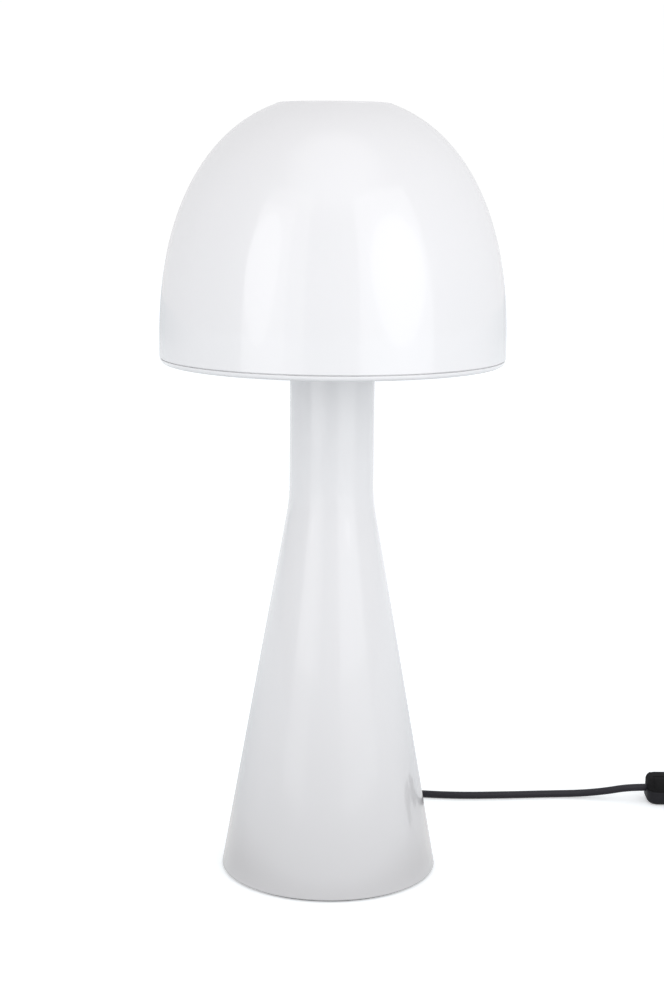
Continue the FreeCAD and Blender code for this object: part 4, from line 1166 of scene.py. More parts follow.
@dataclass
class PhotoView:
    """The photograph's camera, in metres and degrees."""

    place: Point = (0.0005, -1.3705, 0.5257)
    pitch: float = 10.17
    roll: float = 0.52
    lens: float = 68.29

    def build(self) -> None:
        """Makes the scene's camera."""
        data = bpy.data.cameras.new("photo_camera")
        data.lens = self.lens
        data.sensor_width = 36.0
        data.clip_start, data.clip_end = 0.05, 60.0
        camera = linked("photo_camera", data)
        turn = Matrix.Rotation(math.radians(90.0 - self.pitch), 4, "X")
        lean = Matrix.Rotation(math.radians(self.roll), 4, "Z")
        camera.matrix_world = Matrix.Translation(self.place) @ turn @ lean
        bpy.context.scene.camera = camera


@dataclass(frozen=True)
class SoftBox:
    """A rectangular or round lamp, placed by the compass about the lamp's axis, in metres and degrees."""

    name: str
    azimuth: float
    distance: float
    width: float
    low: float
    high: float
    radiance: float
    colour: Point = (1.0, 1.0, 1.0)
    oval: bool = False
    mirrored_only: bool = False

    def build(self) -> None:
        """Makes the lamp, upright and facing the axis."""
        height = self.high - self.low
        area = self.width * height * (math.pi / 4 if self.oval else 1.0)
        data = bpy.data.lights.new(self.name, "AREA")
        data.shape = "ELLIPSE" if self.oval else "RECTANGLE"
        data.size, data.size_y = self.width, height
        data.energy = self.radiance * math.pi * area
        data.color = self.colour
        lamp = linked(self.name, data)
        turn = math.radians(self.azimuth)
        place = Vector((self.distance * math.sin(turn), -self.distance * math.cos(turn),
                        (self.low + self.high) / 2))
        facing = Matrix.Rotation(turn, 4, "Z") @ Matrix.Rotation(math.pi / 2, 4, "X")
        lamp.matrix_world = Matrix.Translation(place) @ facing
        lamp.visible_camera = False
        lamp.visible_diffuse = not self.mirrored_only


@dataclass
class Studio:
    """A floor that the camera sees pale, with painted shade, light and reflection for other rays, an even
    sky and soft boxes; a band is where a ramp starts, and its width.
    """

    sky: float = 0.72
    horizon: float = 0.95
    left_dimming: float = 0.13
    sky_mirrored: float = 0.92
    behind_mirrored: float = 0.86
    behind_tilt: float = 0.05
    overhead_mirrored: float = 0.5
    horizon_power: float = 4.0
    behind_band: Pair = (0.2, 0.5)
    overhead_axis: Pair = (0.93, 0.37)
    overhead_band: Pair = (0.85, 0.1)
    sky_tint: Point = (0.985, 0.984, 1.0)
    backdrop_tint: Point = (1.0, 1.0, 1.0)
    backdrop: float = 1.02
    floor_tint: Point = (0.94, 0.98, 1.0)
    floor_near_painted_shade: float = 0.03
    floor_far: float = 0.97
    floor_lean: float = 0.4
    floor_ring_painted_light: float = 0.3
    ring_band: Pair = (0.125, 0.03)
    near_band: Pair = (0.15, 0.2)
    remote_band: Pair = (2.8, 2.0)
    floor_lit: float = 0.78
    floor_white: float = 1.15
    floor_mirrored: float = 0.4
    floor_behind: float = 0.79
    floor_swell: float = 0.24
    floor_tilt: float = 0.08
    swell_from: float = 0.5
    behind_from: float = 0.03
    behind_rate: float = 1.6
    boxes: tuple[SoftBox, ...] = (
        SoftBox("left_panel", -37.0, 0.86, 0.62, 0.2, 1.4, 0.42, (1.0, 0.985, 0.98)),
        SoftBox("right_panel", 40.0, 0.86, 0.76, 0.2, 1.4, 0.62, (0.985, 0.985, 1.0)),
        SoftBox("left_glow", -43.0, 0.86, 0.44, 0.04, 1.15, 0.32, (1.0, 0.99, 1.0), False, True),
        SoftBox("left_spot", -46.0, 0.85, 0.34, 0.35, 1.05, 0.5, (1.0, 0.99, 1.0), True, True),
        SoftBox("right_glow", 40.0, 0.86, 0.76, 0.04, 1.15, 0.3, (1.0, 1.0, 1.0), False, True),
        SoftBox("right_spot", 42.0, 0.85, 0.56, 0.35, 1.05, 0.6, (1.0, 1.0, 1.0), True, True),
    )

    def build(self) -> None:
        """Makes floor, world and lamps."""
        self.build_world()
        self.build_floor()
        for box in self.boxes:
            box.build()
        bpy.context.scene.view_settings.view_transform = "Standard"

    def build_world(self) -> None:
        """A soft sky that the camera sees as white."""
        world = bpy.data.worlds.new("studio_sky")
        bpy.context.scene.world = world
        world.use_nodes = True
        sheet = NodeSheet(world.node_tree)
        world.node_tree.nodes.clear()
        seen, mirrored, through = sheet.rays("Is Camera Ray", "Is Glossy Ray", "Is Transmission Ray")
        across, deep, up = sheet.parts(sheet.node("ShaderNodeTexCoord", None, None, "Generated"))
        low = (1.0 - up.function("ABSOLUTE")).function("POWER", self.horizon_power)
        even = (low * self.horizon + self.sky) * (across.function("MINIMUM", 0.0) * self.left_dimming + 1.0)
        behind = ramped(deep, *self.behind_band)
        above = up * self.overhead_axis[0] - deep * self.overhead_axis[1]
        overhead = ramped(above, *self.overhead_band) * self.overhead_mirrored
        gloss = behind * (across * self.behind_tilt + (self.behind_mirrored - self.sky_mirrored)) + overhead
        strength = even + mirrored * (gloss + self.sky_mirrored - even)
        light, backdrop = (
            sheet.node("ShaderNodeBackground", None, {"Color": (*colour, 1.0), "Strength": power})
            for colour, power in ((self.sky_tint, strength), (self.backdrop_tint, self.backdrop)))
        white = seen.function("MAXIMUM", through)
        both = sheet.node("ShaderNodeMixShader", None, {0: white, 1: light, 2: backdrop})
        sheet.node("ShaderNodeOutputWorld", None, {"Surface": both})

    def build_floor(self) -> None:
        """A wide floor that keeps the object's shadow: the camera sees it pale, bounce rays see painted
        shade and light round the foot, and reflections see a painted glow.
        """
        sheet = bmesh.new()
        bmesh.ops.create_grid(sheet, x_segments=8, y_segments=8, size=9.0)
        floor = mesh_object("floor", sheet)
        if floor.data.polygons[0].normal.z < 0:
            floor.data.flip_normals()
        recipe = Recipe("floor_white")
        seen, mirrored = recipe.rays("Is Camera Ray", "Is Glossy Ray")
        x, y, _ = recipe.parts(recipe.place())
        reach = (x * x + y * y).function("SQRT")
        # Painted light: a lighter ring on the floor right round the foot, seen only by bounce rays,
        # brightens the bottom of the cone.
        ring = clamped((self.ring_band[0] - reach) / self.ring_band[1]) * self.floor_ring_painted_light
        # Painted shade: for bounce rays the floor is near black round the lamp, darker to the right, and
        # pales further out.
        near = clamped(self.floor_near_painted_shade - x * self.floor_lean) + ring
        tone = near + ramped(reach, *self.near_band) * (self.floor_far - near)
        # Painted reflection: the floor glows only in reflections, brighter behind the lamp, swelling at
        # middle distance and leaning with x far out.
        remote = ramped(reach, *self.remote_band)
        swell = (clamped(reach - self.swell_from) - remote) * self.floor_swell
        behind = clamped((y + self.behind_from) / reach * self.behind_rate)
        level = swell + self.floor_behind + remote * x / reach * self.floor_tilt
        gloss = self.floor_mirrored + behind * (level - self.floor_mirrored - tone * self.floor_lit)
        glow = seen * (self.floor_white - self.floor_far * self.floor_lit) + mirrored * gloss
        shown = tone + seen * (self.floor_far - tone)
        red, green, blue = (shown * channel for channel in self.floor_tint)
        paint = recipe.node("ShaderNodeBsdfDiffuse", None, {"Color": recipe.joined(red, green, blue)})
        light = recipe.node("ShaderNodeEmission", None, {"Color": (1.0, 1.0, 1.0, 1.0), "Strength": glow})
        both = recipe.node("ShaderNodeAddShader", None, {0: paint, 1: light})
        recipe.node("ShaderNodeOutputMaterial", None, {"Surface": both})
        floor.data.materials.append(recipe.material)


@dataclass
class CordRoute:
    """The free cord's routes, in millimetres, as the part's source has them."""

    diameter: float = 6.0
    lead: list[Point] = field(default_factory=lambda: [
        (0, 106.0, 9), (0, 118, 9), (2, 132, 6.4), (9.5, 146.5, 3.9), (23.5, 157.5, 3), (42, 160.5, 3),
        (64, 154, 3), (104, 148.4, 3), (146, 150.9, 3), (186, 155, 3), (211, 155.2, 3.6),
        (232, 152.6, 6.6), (252, 149.8, 11.3), (271, 149.8, 11.3)])
    tail: list[Point] = field(default_factory=lambda: [
        (335, 149.8, 11.3), (348, 149.8, 11.3), (362, 150.3, 7.2), (378, 150, 3.8), (392, 150, 3.8)])
    end: list[Point] = field(default_factory=lambda: [
        (392, 63.75, 10.3), (382.2, 63.75, 10.3), (369.8, 63.75, 6.85), (360, 63.75, 6.85)])
    coil_centre: Pair = (398.0, 106.875)
    coil_inner: float = 22.0
    coil_pitch: float = 6.5
    coil_quarters: int = 26
    coil_low: float = 3.8
    coil_high: float = 10.3

    def coil(self, per_quarter: int = 6) -> list[Point]:
        """The coil's points: in on the lower layer, out on the upper one.

        Args:
            per_quarter: Points in each quarter turn.

        Returns:
            The points, in millimetres.
        """
        points: list[Point] = []
        middle = self.coil_quarters / 2
        swell = 1.0 / (1.0 - (1.0 - math.cos(math.pi / 2 / per_quarter)) / 4)
        for number in range(self.coil_quarters * per_quarter + 1):
            quarter = number / per_quarter
            radius = (self.coil_inner + self.coil_pitch * abs(quarter - middle) / 4) * swell
            climb = min(max((quarter - middle + 1) / 2, 0.0), 1.0)
            angle = math.pi / 2 * (1 - quarter)
            points.append((self.coil_centre[0] + radius * math.cos(angle),
                           self.coil_centre[1] + radius * math.sin(angle),
                           self.coil_low + (self.coil_high - self.coil_low) * climb))
        return points


class Cord(SubAssembly):
    """The free cord, in two lengths with the switch between them."""

    sizes: CordRoute
    lead: Piece
    tail: Piece

    def strung(self, name: str, points: Sequence[Point]) -> Piece:
        """A smooth round cord along a route.

        Args:
            name: The piece's name.
            points: The route, in millimetres.

        Returns:
            The curve object.
        """
        data = bpy.data.curves.new(name, "CURVE")
        data.dimensions = "3D"
        data.bevel_depth = self.sizes.diameter / 2 * MM
        data.bevel_resolution = 7
        data.use_fill_caps = True
        data.resolution_u = 8
        spline = data.splines.new("NURBS")
        spline.points.add(len(points) - 1)
        for point, spot in zip(spline.points, points):
            point.co = (spot[0] * MM, spot[1] * MM, spot[2] * MM, 1.0)
        spline.order_u = 3
        spline.use_endpoint_u = True
        spline.use_smooth = True
        data.materials.append(self.looks.sheath)
        return linked(name, data)

    def build(self) -> None:
        """Makes both lengths."""
        self.lead = self.place(self.strung("lead_cord", self.sizes.lead), "cord_black", "cord_lead")
        whole = self.sizes.tail + self.sizes.coil() + self.sizes.end
        self.tail = self.place(self.strung("coiled_cord", whole), "cord_black",
                               "cord_tail", "cord_coil", "cord_end")

    def declare(self, on_lead: Sequence[Piece], on_tail: Sequence[Piece]) -> None:
        """Does nothing; no length is stated.

        Args:
            on_lead: The switch's pieces. Not used.
            on_tail: The tie and the plug's pieces. Not used.
        """


@dataclass
class ShadeSizes:
    """The shade's sizes, in millimetres."""

    radius: float = 125.0
    seam: float = 385.6
    spring: float = 396.1
    top: float = 565.7
    crown: float = 38.6
    exponent: float = 2.275
    wall: float = 1.0
    crown_soft: float = 14.0
    chamfer: float = 0.3
    seam_gap: float = 0.7
    lip: float = 124.5
    lip_inner: float = 120.8
    lip_bottom: float = 381.2
    lip_soft: float = 3.4
    spigot: float = 123.9
    rim_wall: float = 1.4
    ledge: float = 391.0
    ledge_inner: float = 111.4
    skirt: float = 8.0


class Shade(SubAssembly):
    """The spun dome and the ring under it."""

    body = Body.SHADE
    sizes: ShadeSizes

    def dome_curve(self, inset: float, steps: int = 110) -> Outline:
        """The dome's skin from its foot to its axis.

        Args:
            inset: How far the skin lies inside the outer one.
            steps: Points along the shoulder.

        Returns:
            The skin's points, with the crown's edge softened.
        """
        s = self.sizes
        radius, top, crown = s.radius - inset, s.top - inset, s.crown - inset
        power = s.exponent
        rise = (top - s.spring) / (1 - (crown / radius) ** power) ** (1 / power)
        last = math.atan2((top - s.spring) / rise, crown / radius)
        points: Outline = []
        for step in range(steps + 1):
            angle = last * step / steps
            scale = (math.cos(angle) ** power + math.sin(angle) ** power) ** (-1 / power)
            points.append((radius * scale * math.cos(angle), s.spring + rise * scale * math.sin(angle)))
        soft = s.crown_soft - inset
        for index in range(len(points) - 2, 0, -1):
            (r0, z0), (r1, z1) = points[index], points[index + 1]
            slope = math.atan2(z1 - z0, r0 - r1)
            middle_r, middle_z = r0 - soft * math.sin(slope), z0 - soft * math.cos(slope)
            if middle_z + soft <= top:
                break
        arc: Outline = []
        centre_r, centre_z = middle_r, top - soft
        for step in range(13):
            angle = (math.pi / 2 - slope) + slope * step / 12
            arc.append((centre_r + soft * math.cos(angle), centre_z + soft * math.sin(angle)))
        flat = [(centre_r * share, top) for share in (0.75, 0.5, 0.25, 0.0)]
        return points[:index + 1] + arc + flat

    def build(self) -> None:
        """Makes dome and ring."""
        s = self.sizes
        outer = [(s.radius - s.chamfer, s.seam), (s.radius, s.seam + s.chamfer),
                 (s.radius, s.seam + s.skirt / 2), (s.radius, s.seam + s.skirt)] + self.dome_curve(0.0)
        inner = [(s.radius - s.wall, s.seam + rise) for rise in (0.0, s.skirt)] + self.dome_curve(s.wall)
        dome = self.shop.spun("spun_dome", outer + inner[::-1], self.looks.paint, 256, crease=40.0)
        self.place(dome, "gloss_white", "shade_dome")
        shoulder = s.seam - s.seam_gap
        ring = softened([
            Corner(s.lip_inner, s.lip_bottom, 0.5), Corner(s.lip, s.lip_bottom, s.lip_soft),
            Corner(s.lip, shoulder, s.chamfer), Corner(s.spigot - s.seam_gap, shoulder),
            Corner(s.spigot - s.seam_gap, s.seam + s.seam_gap), Corner(s.spigot, s.seam + 2 * s.seam_gap),
            Corner(s.spigot, s.ledge + s.rim_wall),
            Corner(s.ledge_inner, s.ledge + s.rim_wall, 0.3), Corner(s.ledge_inner, s.ledge, 0.3),
            Corner(s.spigot - s.rim_wall, s.ledge), Corner(s.spigot - s.rim_wall, s.seam),
            Corner(s.lip_inner, s.seam, 0.5)], 8)
        self.place(self.shop.spun("rolled_lip", ring, self.looks.paint, 256, crease=35.0),
                   "gloss_white", "shade_rim_ring")


@dataclass
class StandSizes:
    """The stand's sizes, in millimetres."""

    base: float = 80.4
    neck: float = 30.8
    lift: float = 1.2
    height: float = 386.5
    flare: float = 281.0
    flare_soft: float = 145.0
    wall: float = 1.0
    foot_soft: float = 1.3
    flange: float = 6.0
    gland: Point = (0.0, 75.0, 9.0)
    gland_ribs: Ribs = Ribs(8, 8.0, 2.4, 4.98, 0.45, 0.0195)


class Stand(SubAssembly):
    """The conical shell and what stands in it."""

    sizes: StandSizes

    def build(self) -> None:
        """Makes the shell and dresses the hidden solids."""
        s = self.sizes
        slope = (s.base - s.neck) / (s.flare - s.lift)
        across = s.wall * math.sqrt(1 + slope ** 2)
        inside = s.base - across - slope * s.wall
        outer = softened([Corner(s.base - s.wall - s.flange, s.lift), Corner(s.base, s.lift, s.foot_soft),
                          Corner(s.neck, s.flare, s.flare_soft), Corner(s.neck, s.height)], 24, False)
        inner = softened([Corner(s.neck - s.wall, s.height),
                          Corner(s.neck - s.wall, s.flare, s.flare_soft + s.wall),
                          Corner(inside, s.lift + s.wall, 0.3),
                          Corner(s.base - s.wall - s.flange, s.lift + s.wall)], 24, False)
        shell = self.shop.spun("conical_shell", outer + inner, self.looks.paint, 224, crease=35.0)
        self.place(shell, "gloss_white", "stand_shell")
        looks = self.looks
        self.place(eased("carrier_arms", "shade_carrier", 0.35, looks.inner_paint), "gloss_white",
                   "shade_carrier")
        self.dress(looks.zinc, "tie_tube", "lower_washer", "lower_nut", "upper_washer", "upper_nut")
        for material, node in (
                (looks.iron, "base_weight"), (looks.felt, "foot_pad"), (looks.rubber, "cord_gland"),
                (looks.button, "carrier_buttons"), (looks.sheath, "inner_lead"),
                (looks.lead_cores, "lead_cores")):
            self.dress(material, node)
        ribs = self.shop.ribbed("gland_ribs", s.gland_ribs, looks.rubber)
        moved(ribs, shifted(*s.gland) @ Matrix.Rotation(-math.pi / 2, 4, "X"))
        self.place(ribs, "black_rubber")


@dataclass
class BulbSizes:
    """The bulb's sizes, in millimetres."""

    cap: float = 427.0
    housing: float = 446.0
    top: float = 529.6
    radius: float = 30.0
    cap_radius: float = 13.1
    cap_wall: float = 0.6
    wall: float = 1.2
    cut: float = 10.0
    root: float = 15.0
    bulge: float = 25.5
    bulge_soft: float = 14.0
    root_soft: float = 8.0
    chips: int = 12
    chip_circle: float = 16.0
    board_top: float = 1.62


class Bulb(SubAssembly):
    """A screw-in LED bulb with an opal globe."""

    body = Body.BULB
    sizes: BulbSizes

    def build(self) -> None:
        """Makes globe, housing, board, chips, cap, insulator and tip."""
        s = self.sizes
        centre = s.top - s.radius
        edge = centre - s.cut
        low = -math.asin(s.cut / s.radius)
        globe: Outline = []
        for radius, order in ((s.radius, 1), (s.radius - s.wall, -1)):
            start = -math.asin(s.cut / radius)
            arc = [start + (math.pi / 2 - start) * step / 40 for step in range(41)]
            globe += [(radius * math.cos(a), centre + radius * math.sin(a)) for a in arc[::order]]
        globe_skin = self.shop.spun("opal_globe", globe, self.looks.opal, 96, crease=40.0)
        self.place(globe_skin, "opal", "bulb_globe")
        rim = s.radius * math.cos(low)
        housing = softened([
            Corner(s.cap_radius - s.cap_wall, s.housing), Corner(s.cap_radius, s.housing, 0.2),
            Corner(s.root, s.housing + s.cut, s.root_soft), Corner(s.bulge, edge - s.cut, s.bulge_soft),
            Corner(rim, edge, 0.2), Corner(rim - 2 * s.wall, edge),
            Corner(s.bulge - 2 * s.wall, edge - s.cut, s.bulge_soft - 2.0),
            Corner(s.root - 2 * s.wall, s.housing + s.cut, s.root_soft)])
        skin = self.shop.spun("bulb_housing_skin", housing, self.looks.housing, 96)
        self.place(skin, "housing_white", "bulb_housing")
        rows, tall, bore = 60, s.housing - s.cap, s.cap_radius - s.cap_wall
        cap = [(bore, s.cap)]
        cap += [(s.cap_radius, s.cap + tall * step / rows) for step in range(rows + 1)]
        cap += [(bore, s.housing - tall * step / rows) for step in range(rows)]
        tube = self.shop.spun("threaded_cap", cap, self.looks.nickel, 72)
        self.shop.rolled(tube, self.looks.nickel, s.cap + 1.0, s.housing - 3.0)
        self.place(tube, "cap_nickel", "bulb_cap")
        chip = self.shop.tiered("led_chips", [
            Tier(3.4, 2.6, 0.2, 0.0), Tier(3.4, 2.6, 0.2, 0.6), Tier(3.0, 2.2, 0.3, 0.75)],
            self.looks.phosphor)
        height = edge - s.cut + s.board_top
        self.shop.wreathed(chip, self.looks.phosphor, s.chips, s.chip_circle, height)
        self.place(chip, "opal")
        self.dress(self.looks.board, "led_board")
        self.dress(self.looks.glassy, "bulb_insulator")
        self.dress(self.looks.nickel, "bulb_tip")


@dataclass
class HolderSizes:
    """The lampholder's sizes, in millimetres."""

    bore: float = 13.4
    wall: float = 0.5
    low: float = 418.5
    high: float = 443.5
    rolled_from: float = 421.0
    thread_depth: float = 0.25
    ribs: Ribs = Ribs(9, 424.0, 2.2, 19.0, 0.35)


class Lampholder(SubAssembly):
    """Cap, sleeve, core, threaded contact shell and contacts."""

    sizes: HolderSizes

    def build(self) -> None:
        """Makes the thread and the sleeve's ribs, and dresses the solids."""
        s = self.sizes
        rows, tall = 70, s.high - s.low
        wall = [(s.bore + s.wall, s.low + tall * step / rows) for step in range(rows + 1)]
        wall += [(s.bore, s.high - tall * step / rows) for step in range(rows + 1)]
        tube = self.shop.spun("holder_threaded_shell", wall, self.looks.brass, 72)
        self.shop.rolled(tube, self.looks.brass, s.rolled_from, s.high - 0.5, depth=s.thread_depth)
        self.place(tube, "brass", "holder_thread")
        self.place(self.shop.ribbed("sleeve_ribs", s.ribs, self.looks.holder), "holder_white")
        for node, width in (("holder_sleeve", 0.4), ("holder_cap", 0.5)):
            self.place(eased(node + "_skin", node, width, self.looks.holder), "holder_white", node)
        self.dress(self.looks.ceramic, "holder_core")
        self.dress(self.looks.brass, "centre_contact")
        self.dress(self.looks.screw, "terminal_screws")


@dataclass
class SwitchSizes:
    """The in-line switch's sizes, in millimetres, in its own frame."""

    x: float = 303.0
    y: float = 149.8
    plan: Tier = Tier(76.0, 30.0, 9.0, 0.0)
    split: float = 11.3
    height: float = 22.3
    edge: float = 5.0
    crown: float = 5.5
    step: float = 0.7
    wall: float = 2.0
    panel: float = 66.0
    panel_from: float = 12.9
    panel_sunk: float = 0.45
    panel_corner: float = 3.5
    hump: float = 8.8
    window: Pair = (24.0, 15.0)
    entry: float = 11.3
    entry_radius: float = 3.3
    pivot: float = 16.5
    tilt: float = 7.0
    rocker_half: float = 10.9
    rocker_width: float = 14.2
    rocker_rise: float = 1.4
    rocker_depth: float = 3.5
    mark_from_middle: float = 7.6
    screws: tuple[Pair, ...] = ((-20.0, 9.3), (20.0, -9.3))
    screw_head: float = 2.9


class Switch(SubAssembly):
    """The in-line switch: two shells, a dished rocker and its marks."""

    sizes: SwitchSizes

    def rounding(self, plan: Tier, radius: float, low: float, up: bool, steps: int = 8) -> list[Tier]:
        """Tiers that round an edge.

        Args:
            plan: The rectangle outside the edge.
            radius: The edge's radius.
            low: Where the upright side ends.
            up: Whether the rounding goes up or down from there.
            steps: Segments in it.

        Returns:
            The tiers, from the side inwards.
        """
        sign = 1.0 if up else -1.0
        angles = [math.pi / 2 * step / steps for step in range(steps + 1)]
        return [plan.inset(radius * (1 - math.cos(a)), low + sign * radius * math.sin(a)) for a in angles]

    def build_cover(self) -> Piece:
        """The upper shell, with a grooved panel round its window.

        Returns:
            The piece.
        """
        s = self.sizes
        top, side = s.height, s.height - s.crown
        skin = s.plan.inset(s.step, 0.0)
        inner = skin.inset(s.wall, 0.0)
        length, width = s.window
        tiers = [skin.inset(0.3, s.split), skin.inset(0.0, s.split + 0.3)]
        tiers += self.rounding(skin, s.crown, side, True)
        tiers += [Tier(length + 1.0, width + 1.0, 1.3, top), Tier(length + 0.4, width + 0.4, 1.0, top - 0.2),
                  Tier(length, width, 0.8, top - 0.6), Tier(length, width, 0.8, top - s.wall)]
        tiers += self.rounding(inner, s.crown - s.wall, side, True)[::-1] + [inner.inset(0.0, s.split)]
        cover = self.shop.tiered("switch_cover_shell", tiers, self.looks.cover, loop=True, crease=32.0)
        carved(cover, self.entry_tool(self.looks.cover), self.panel_tool(-1), self.panel_tool(1))
        return shaded(cover)

    def entry_tool(self, material: Finish) -> Piece:
        """Makes the bore that the cord goes through at both ends.

        Args:
            material: The finish of the cut faces.

        Returns:
            The tool.
        """
        s = self.sizes
        reach = s.plan.length
        outline = [(0.0, -reach), (s.entry_radius, -reach), (s.entry_radius, reach), (0.0, reach)]
        hole = self.shop.spun("entry_tool", outline, material, 48, closed=False)
        return moved(hole, shifted(0, 0, s.entry) @ Matrix.Rotation(math.pi / 2, 4, "Y"))

    def panel_tool(self, side: int) -> Piece:
        """What the sunk panel on one flank takes out of the cover.

        Args:
            side: 1 for the flank at higher Y, -1 for the one in front.

        Returns:
            The closed tool.
        """
        s = self.sizes
        half, reach, corner = s.panel / 2, s.plan.width, s.panel_corner
        tool = self.shop.prism("panel_tool", softened([
            Corner(-half, s.panel_from, corner), Corner(half, s.panel_from, corner),
            Corner(half, 2 * s.height), Corner(-half, 2 * s.height)]), reach, self.looks.cover)
        moved(tool, shifted(0, side * (reach + s.hump) / 2, 0))
        core = s.plan.inset(s.step + s.panel_sunk, 0.0)
        left = self.shop.tiered("core_tool", [core.inset(0.0, s.split)] + self.rounding(
            core, s.crown, s.height - s.crown - s.panel_sunk, True), self.looks.cover)
        return carved(tool, left)

    def build_base(self) -> Piece:
        """The lower shell.

        Returns:
            The piece.
        """
        s = self.sizes
        plan = s.plan
        inner = plan.inset(s.wall, 0.0)
        outside = [plan.inset(0.35, s.split), plan.inset(0.0, s.split - 0.35)]
        outside += self.rounding(plan, s.edge, s.edge, False)
        hollow = [inner.inset(0.0, s.split + 3.0), inner.inset(0.0, s.split)]
        hollow += self.rounding(inner, s.edge - s.wall, s.edge, False)
        shell = self.shop.tiered("switch_base_shell", outside, self.looks.under, crease=32.0)
        inside = self.shop.tiered("base_tool", hollow, self.looks.under)
        heads = []
        for x, y in s.screws:
            outline = [(0.0, -2.0), (s.screw_head, -2.0), (s.screw_head, 1.6), (0.0, 1.6)]
            tool = self.shop.spun("head_tool", outline, self.looks.under, 32, closed=False)
            heads.append(moved(tool, shifted(x, y, 0)))
        return shaded(carved(shell, inside, self.entry_tool(self.looks.under), *heads))

    def build_rocker(self) -> list[Piece]:
        """The dished rocker with a ring and a bar moulded into its ends.

        Returns:
            The rocker and its marks, about the pivot.
        """
        s = self.sizes
        half, crown, rise = s.rocker_half, s.height - s.pivot, s.rocker_rise
        steps = 24
        shares = [math.cos(math.pi * step / steps) for step in range(steps + 1)]
        dish = [(-half * share, crown + rise * abs(share) ** 1.6) for share in shares]
        low = -s.rocker_depth
        outline = [(-half, 0.0), (-half / 2, low), (half / 2, low), (half, 0.0)] + dish[::-1]
        rocker = self.shop.prism("rocker_cap", outline, s.rocker_width, self.looks.rocker)
        shaded(bevelled(rocker, 0.35, 3, 32.0))
        angle = math.atan2(rise, half)
        ring = self.shop.spun("off_mark", softened([
            Corner(1.5, -0.3), Corner(1.95, -0.3), Corner(1.95, 0.09, 0.04), Corner(1.5, 0.09, 0.04)], 2),
            self.looks.mark, 40)
        bar = self.shop.tiered("on_mark", [Tier(0.5, 3.6, 0.2, -0.3), Tier(0.5, 3.6, 0.2, 0.07),
                                           Tier(0.42, 3.5, 0.18, 0.09)], self.looks.mark)
        for mark, side in ((ring, 1), (bar, -1)):
            turn = Matrix.Rotation(-side * angle * 1.45, 4, "Y")
            moved(mark, shifted(side * s.mark_from_middle, 0.0, crown + rise * 0.56) @ turn)
        return [rocker, ring, bar]

    def build(self) -> None:
        """Makes the switch and lays it where the cord holds it."""
        s = self.sizes
        laid = shifted(s.x, s.y, 0)
        self.place(moved(self.build_cover(), laid), "switch_black", "switch_cover")
        self.place(moved(self.build_base(), laid), "switch_black", "switch_base")
        tilt = shifted(s.x, s.y, s.pivot) @ Matrix.Rotation(-math.radians(s.tilt), 4, "Y")
        rocker, ring, bar = (moved(piece, tilt) for piece in self.build_rocker())
        self.place(rocker, "rocker_black", "switch_rocker", body=Body.ROCKER)
        marks = joined("rocker_marks", [ring, bar], self.looks.mark)
        self.place(shaded(marks, 40.0), "rocker_black", body=Body.ROCKER)
        self.dress(self.looks.screw, "rocker_pin", "switch_screws")
        self.dress(self.looks.brass, "switch_contacts", "rocker_contact")
        self.dress(self.looks.switch_cores, "switch_cores")


@dataclass
class PlugSizes:
    """The plug's sizes, in millimetres: its rear is at x, and its face points left."""

    x: float = 342.0
    y: float = 63.75
    length: float = 33.0
    width: float = 35.3
    face: float = 26.1
    rear: float = 13.0
    thickness: float = 13.7
    corner: float = 3.0
    edge: float = 2.6
    panel: float = 5.0
    sunk: float = 0.5
    relief: float = 18.0
    relief_root: float = 5.4
    relief_tip: float = 4.0
    relief_ribs: Ribs = Ribs(7, 3.0, 2.2, 5.07, 0.45, 0.0337)
    grips: int = 5
    grip: Tier = Tier(1.3, 17.0, 0.6, 0.0)
    grip_first: float = -20.5
    grip_step: float = 2.9
    band: float = 0.8
    band_edge: float = 0.15


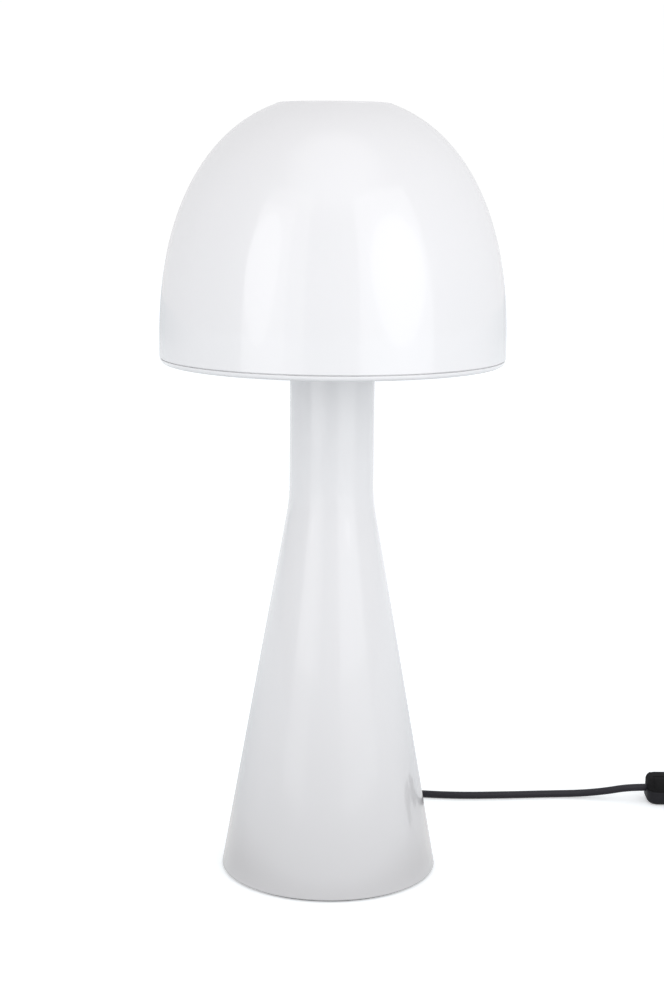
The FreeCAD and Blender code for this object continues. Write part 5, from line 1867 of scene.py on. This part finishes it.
class Plug(SubAssembly):
    """The flat two-pin plug and the band round the coil."""

    sizes: PlugSizes

    def build_shell(self) -> Piece:
        """The moulded body, with a sunk panel above and below.

        Returns:
            The piece, about the middle of its rear.
        """
        s = self.sizes
        half = [Corner(-s.length, -s.face / 2, s.corner), Corner(-0.75 * s.length, -s.width / 2, s.corner),
                Corner(-s.length / 3, -s.width / 2, s.corner), Corner(0.0, -s.rear / 2, s.corner)]
        corners = half + [Corner(corner.r, -corner.z, corner.soft) for corner in reversed(half)]
        side = [(s.edge * (1 - math.cos(math.pi / 16 * step)), s.edge * (1 - math.sin(math.pi / 16 * step)))
                for step in range(8, -1, -1)]
        steps = [(s.panel + 2 * s.sunk, s.sunk), (s.panel + s.sunk, s.sunk), (s.panel, 0.0)] + side
        steps += [(inset, s.thickness - low) for inset, low in reversed(steps)]
        levels = [[(x * MM, y * MM, z * MM) for x, y in softened(drawn_in(corners, inset), 4)]
                  for inset, z in steps]
        return self.shop.stacked("plug_shell", levels, self.looks.cover, crease=32.0)

    def build(self) -> None:
        """Makes the body, its grip bars, the strain relief and the band, and dresses the pins."""
        s = self.sizes
        rear = shifted(s.x, s.y, 0)
        self.place(moved(self.build_shell(), rear), "switch_black", "plug_body")
        low, high = s.sunk - 0.3, s.thickness - s.sunk
        tiers = [s.grip.inset(0.0, low), s.grip.inset(0.0, high + 0.3), Tier(0.8, 16.4, 0.35, high + 0.6)]
        bar = self.shop.tiered("plug_grips", tiers, self.looks.cover)
        first, step = (s.grip_first, 0.0, 0.0), (s.grip_step, 0.0, 0.0)
        self.shop.in_row(bar, self.looks.cover, s.grips, first, step)
        self.place(moved(shaded(bar), rear), "switch_black")
        aimed = shifted(s.x, s.y, s.thickness / 2) @ Matrix.Rotation(math.pi / 2, 4, "Y")
        relief = self.shop.spun("plug_relief", softened([
            Corner(0.0, -2.0), Corner(s.relief_root, -2.0), Corner(s.relief_root, 1.0, 0.5),
            Corner(s.relief_tip, s.relief, 0.6), Corner(0.0, s.relief)], 6, False),
            self.looks.cover, 48, closed=False)
        ribs = self.shop.ribbed("plug_ribs", s.relief_ribs, self.looks.cover)
        for piece in (relief, ribs):
            self.place(moved(piece, aimed), "switch_black")
        self.place(self.build_band(*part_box("cord_tie")), "black_rubber", "cord_tie")
        self.dress(self.looks.nickel, "plug_pins")
        self.dress(self.looks.rubber, "plug_sleeves")

    def build_band(self, low: Vector, high: Vector) -> Piece:
        """A flat band bent round the coil's turns.

        Args:
            low: The lowest corner of its space.
            high: The highest corner.

        Returns:
            The band.
        """
        size = (high - low) / MM
        half, edge = size.y / 2, self.sizes.band_edge
        outer = Tier(size.x, size.z, 3.0, -half)
        inner = outer.inset(self.sizes.band, -half)
        tiers = [outer.inset(edge, -half), outer.inset(0.0, -half + edge),
                 outer.inset(0.0, half - edge), outer.inset(edge, half),
                 inner.inset(-edge, half), inner.inset(0.0, half - edge),
                 inner.inset(0.0, -half + edge), inner.inset(-edge, -half)]
        strap = self.shop.tiered("coil_band", tiers, self.looks.rubber, loop=True, crease=32.0)
        return moved(strap, Matrix.Translation((low + high) / 2) @ Matrix.Rotation(math.pi / 2, 4, "X"))


def main() -> None:
    """Builds the camera, the cord, the lamp and its room."""
    PhotoView().build()
    palette = Palette()
    workshop = Workshop()
    cord = Cord(workshop, palette, CordRoute())
    cord.build()
    switch = Switch(workshop, palette, SwitchSizes())
    switch.build()
    plug = Plug(workshop, palette, PlugSizes())
    plug.build()
    cord.declare(switch.pieces, plug.pieces)
    Shade(workshop, palette, ShadeSizes()).build()
    Stand(workshop, palette, StandSizes()).build()
    Lampholder(workshop, palette, HolderSizes()).build()
    Bulb(workshop, palette, BulbSizes()).build()
    Studio().build()


if __name__ == "__main__":
    logging.basicConfig(level=logging.INFO, format="%(name)s: %(message)s")
    main()
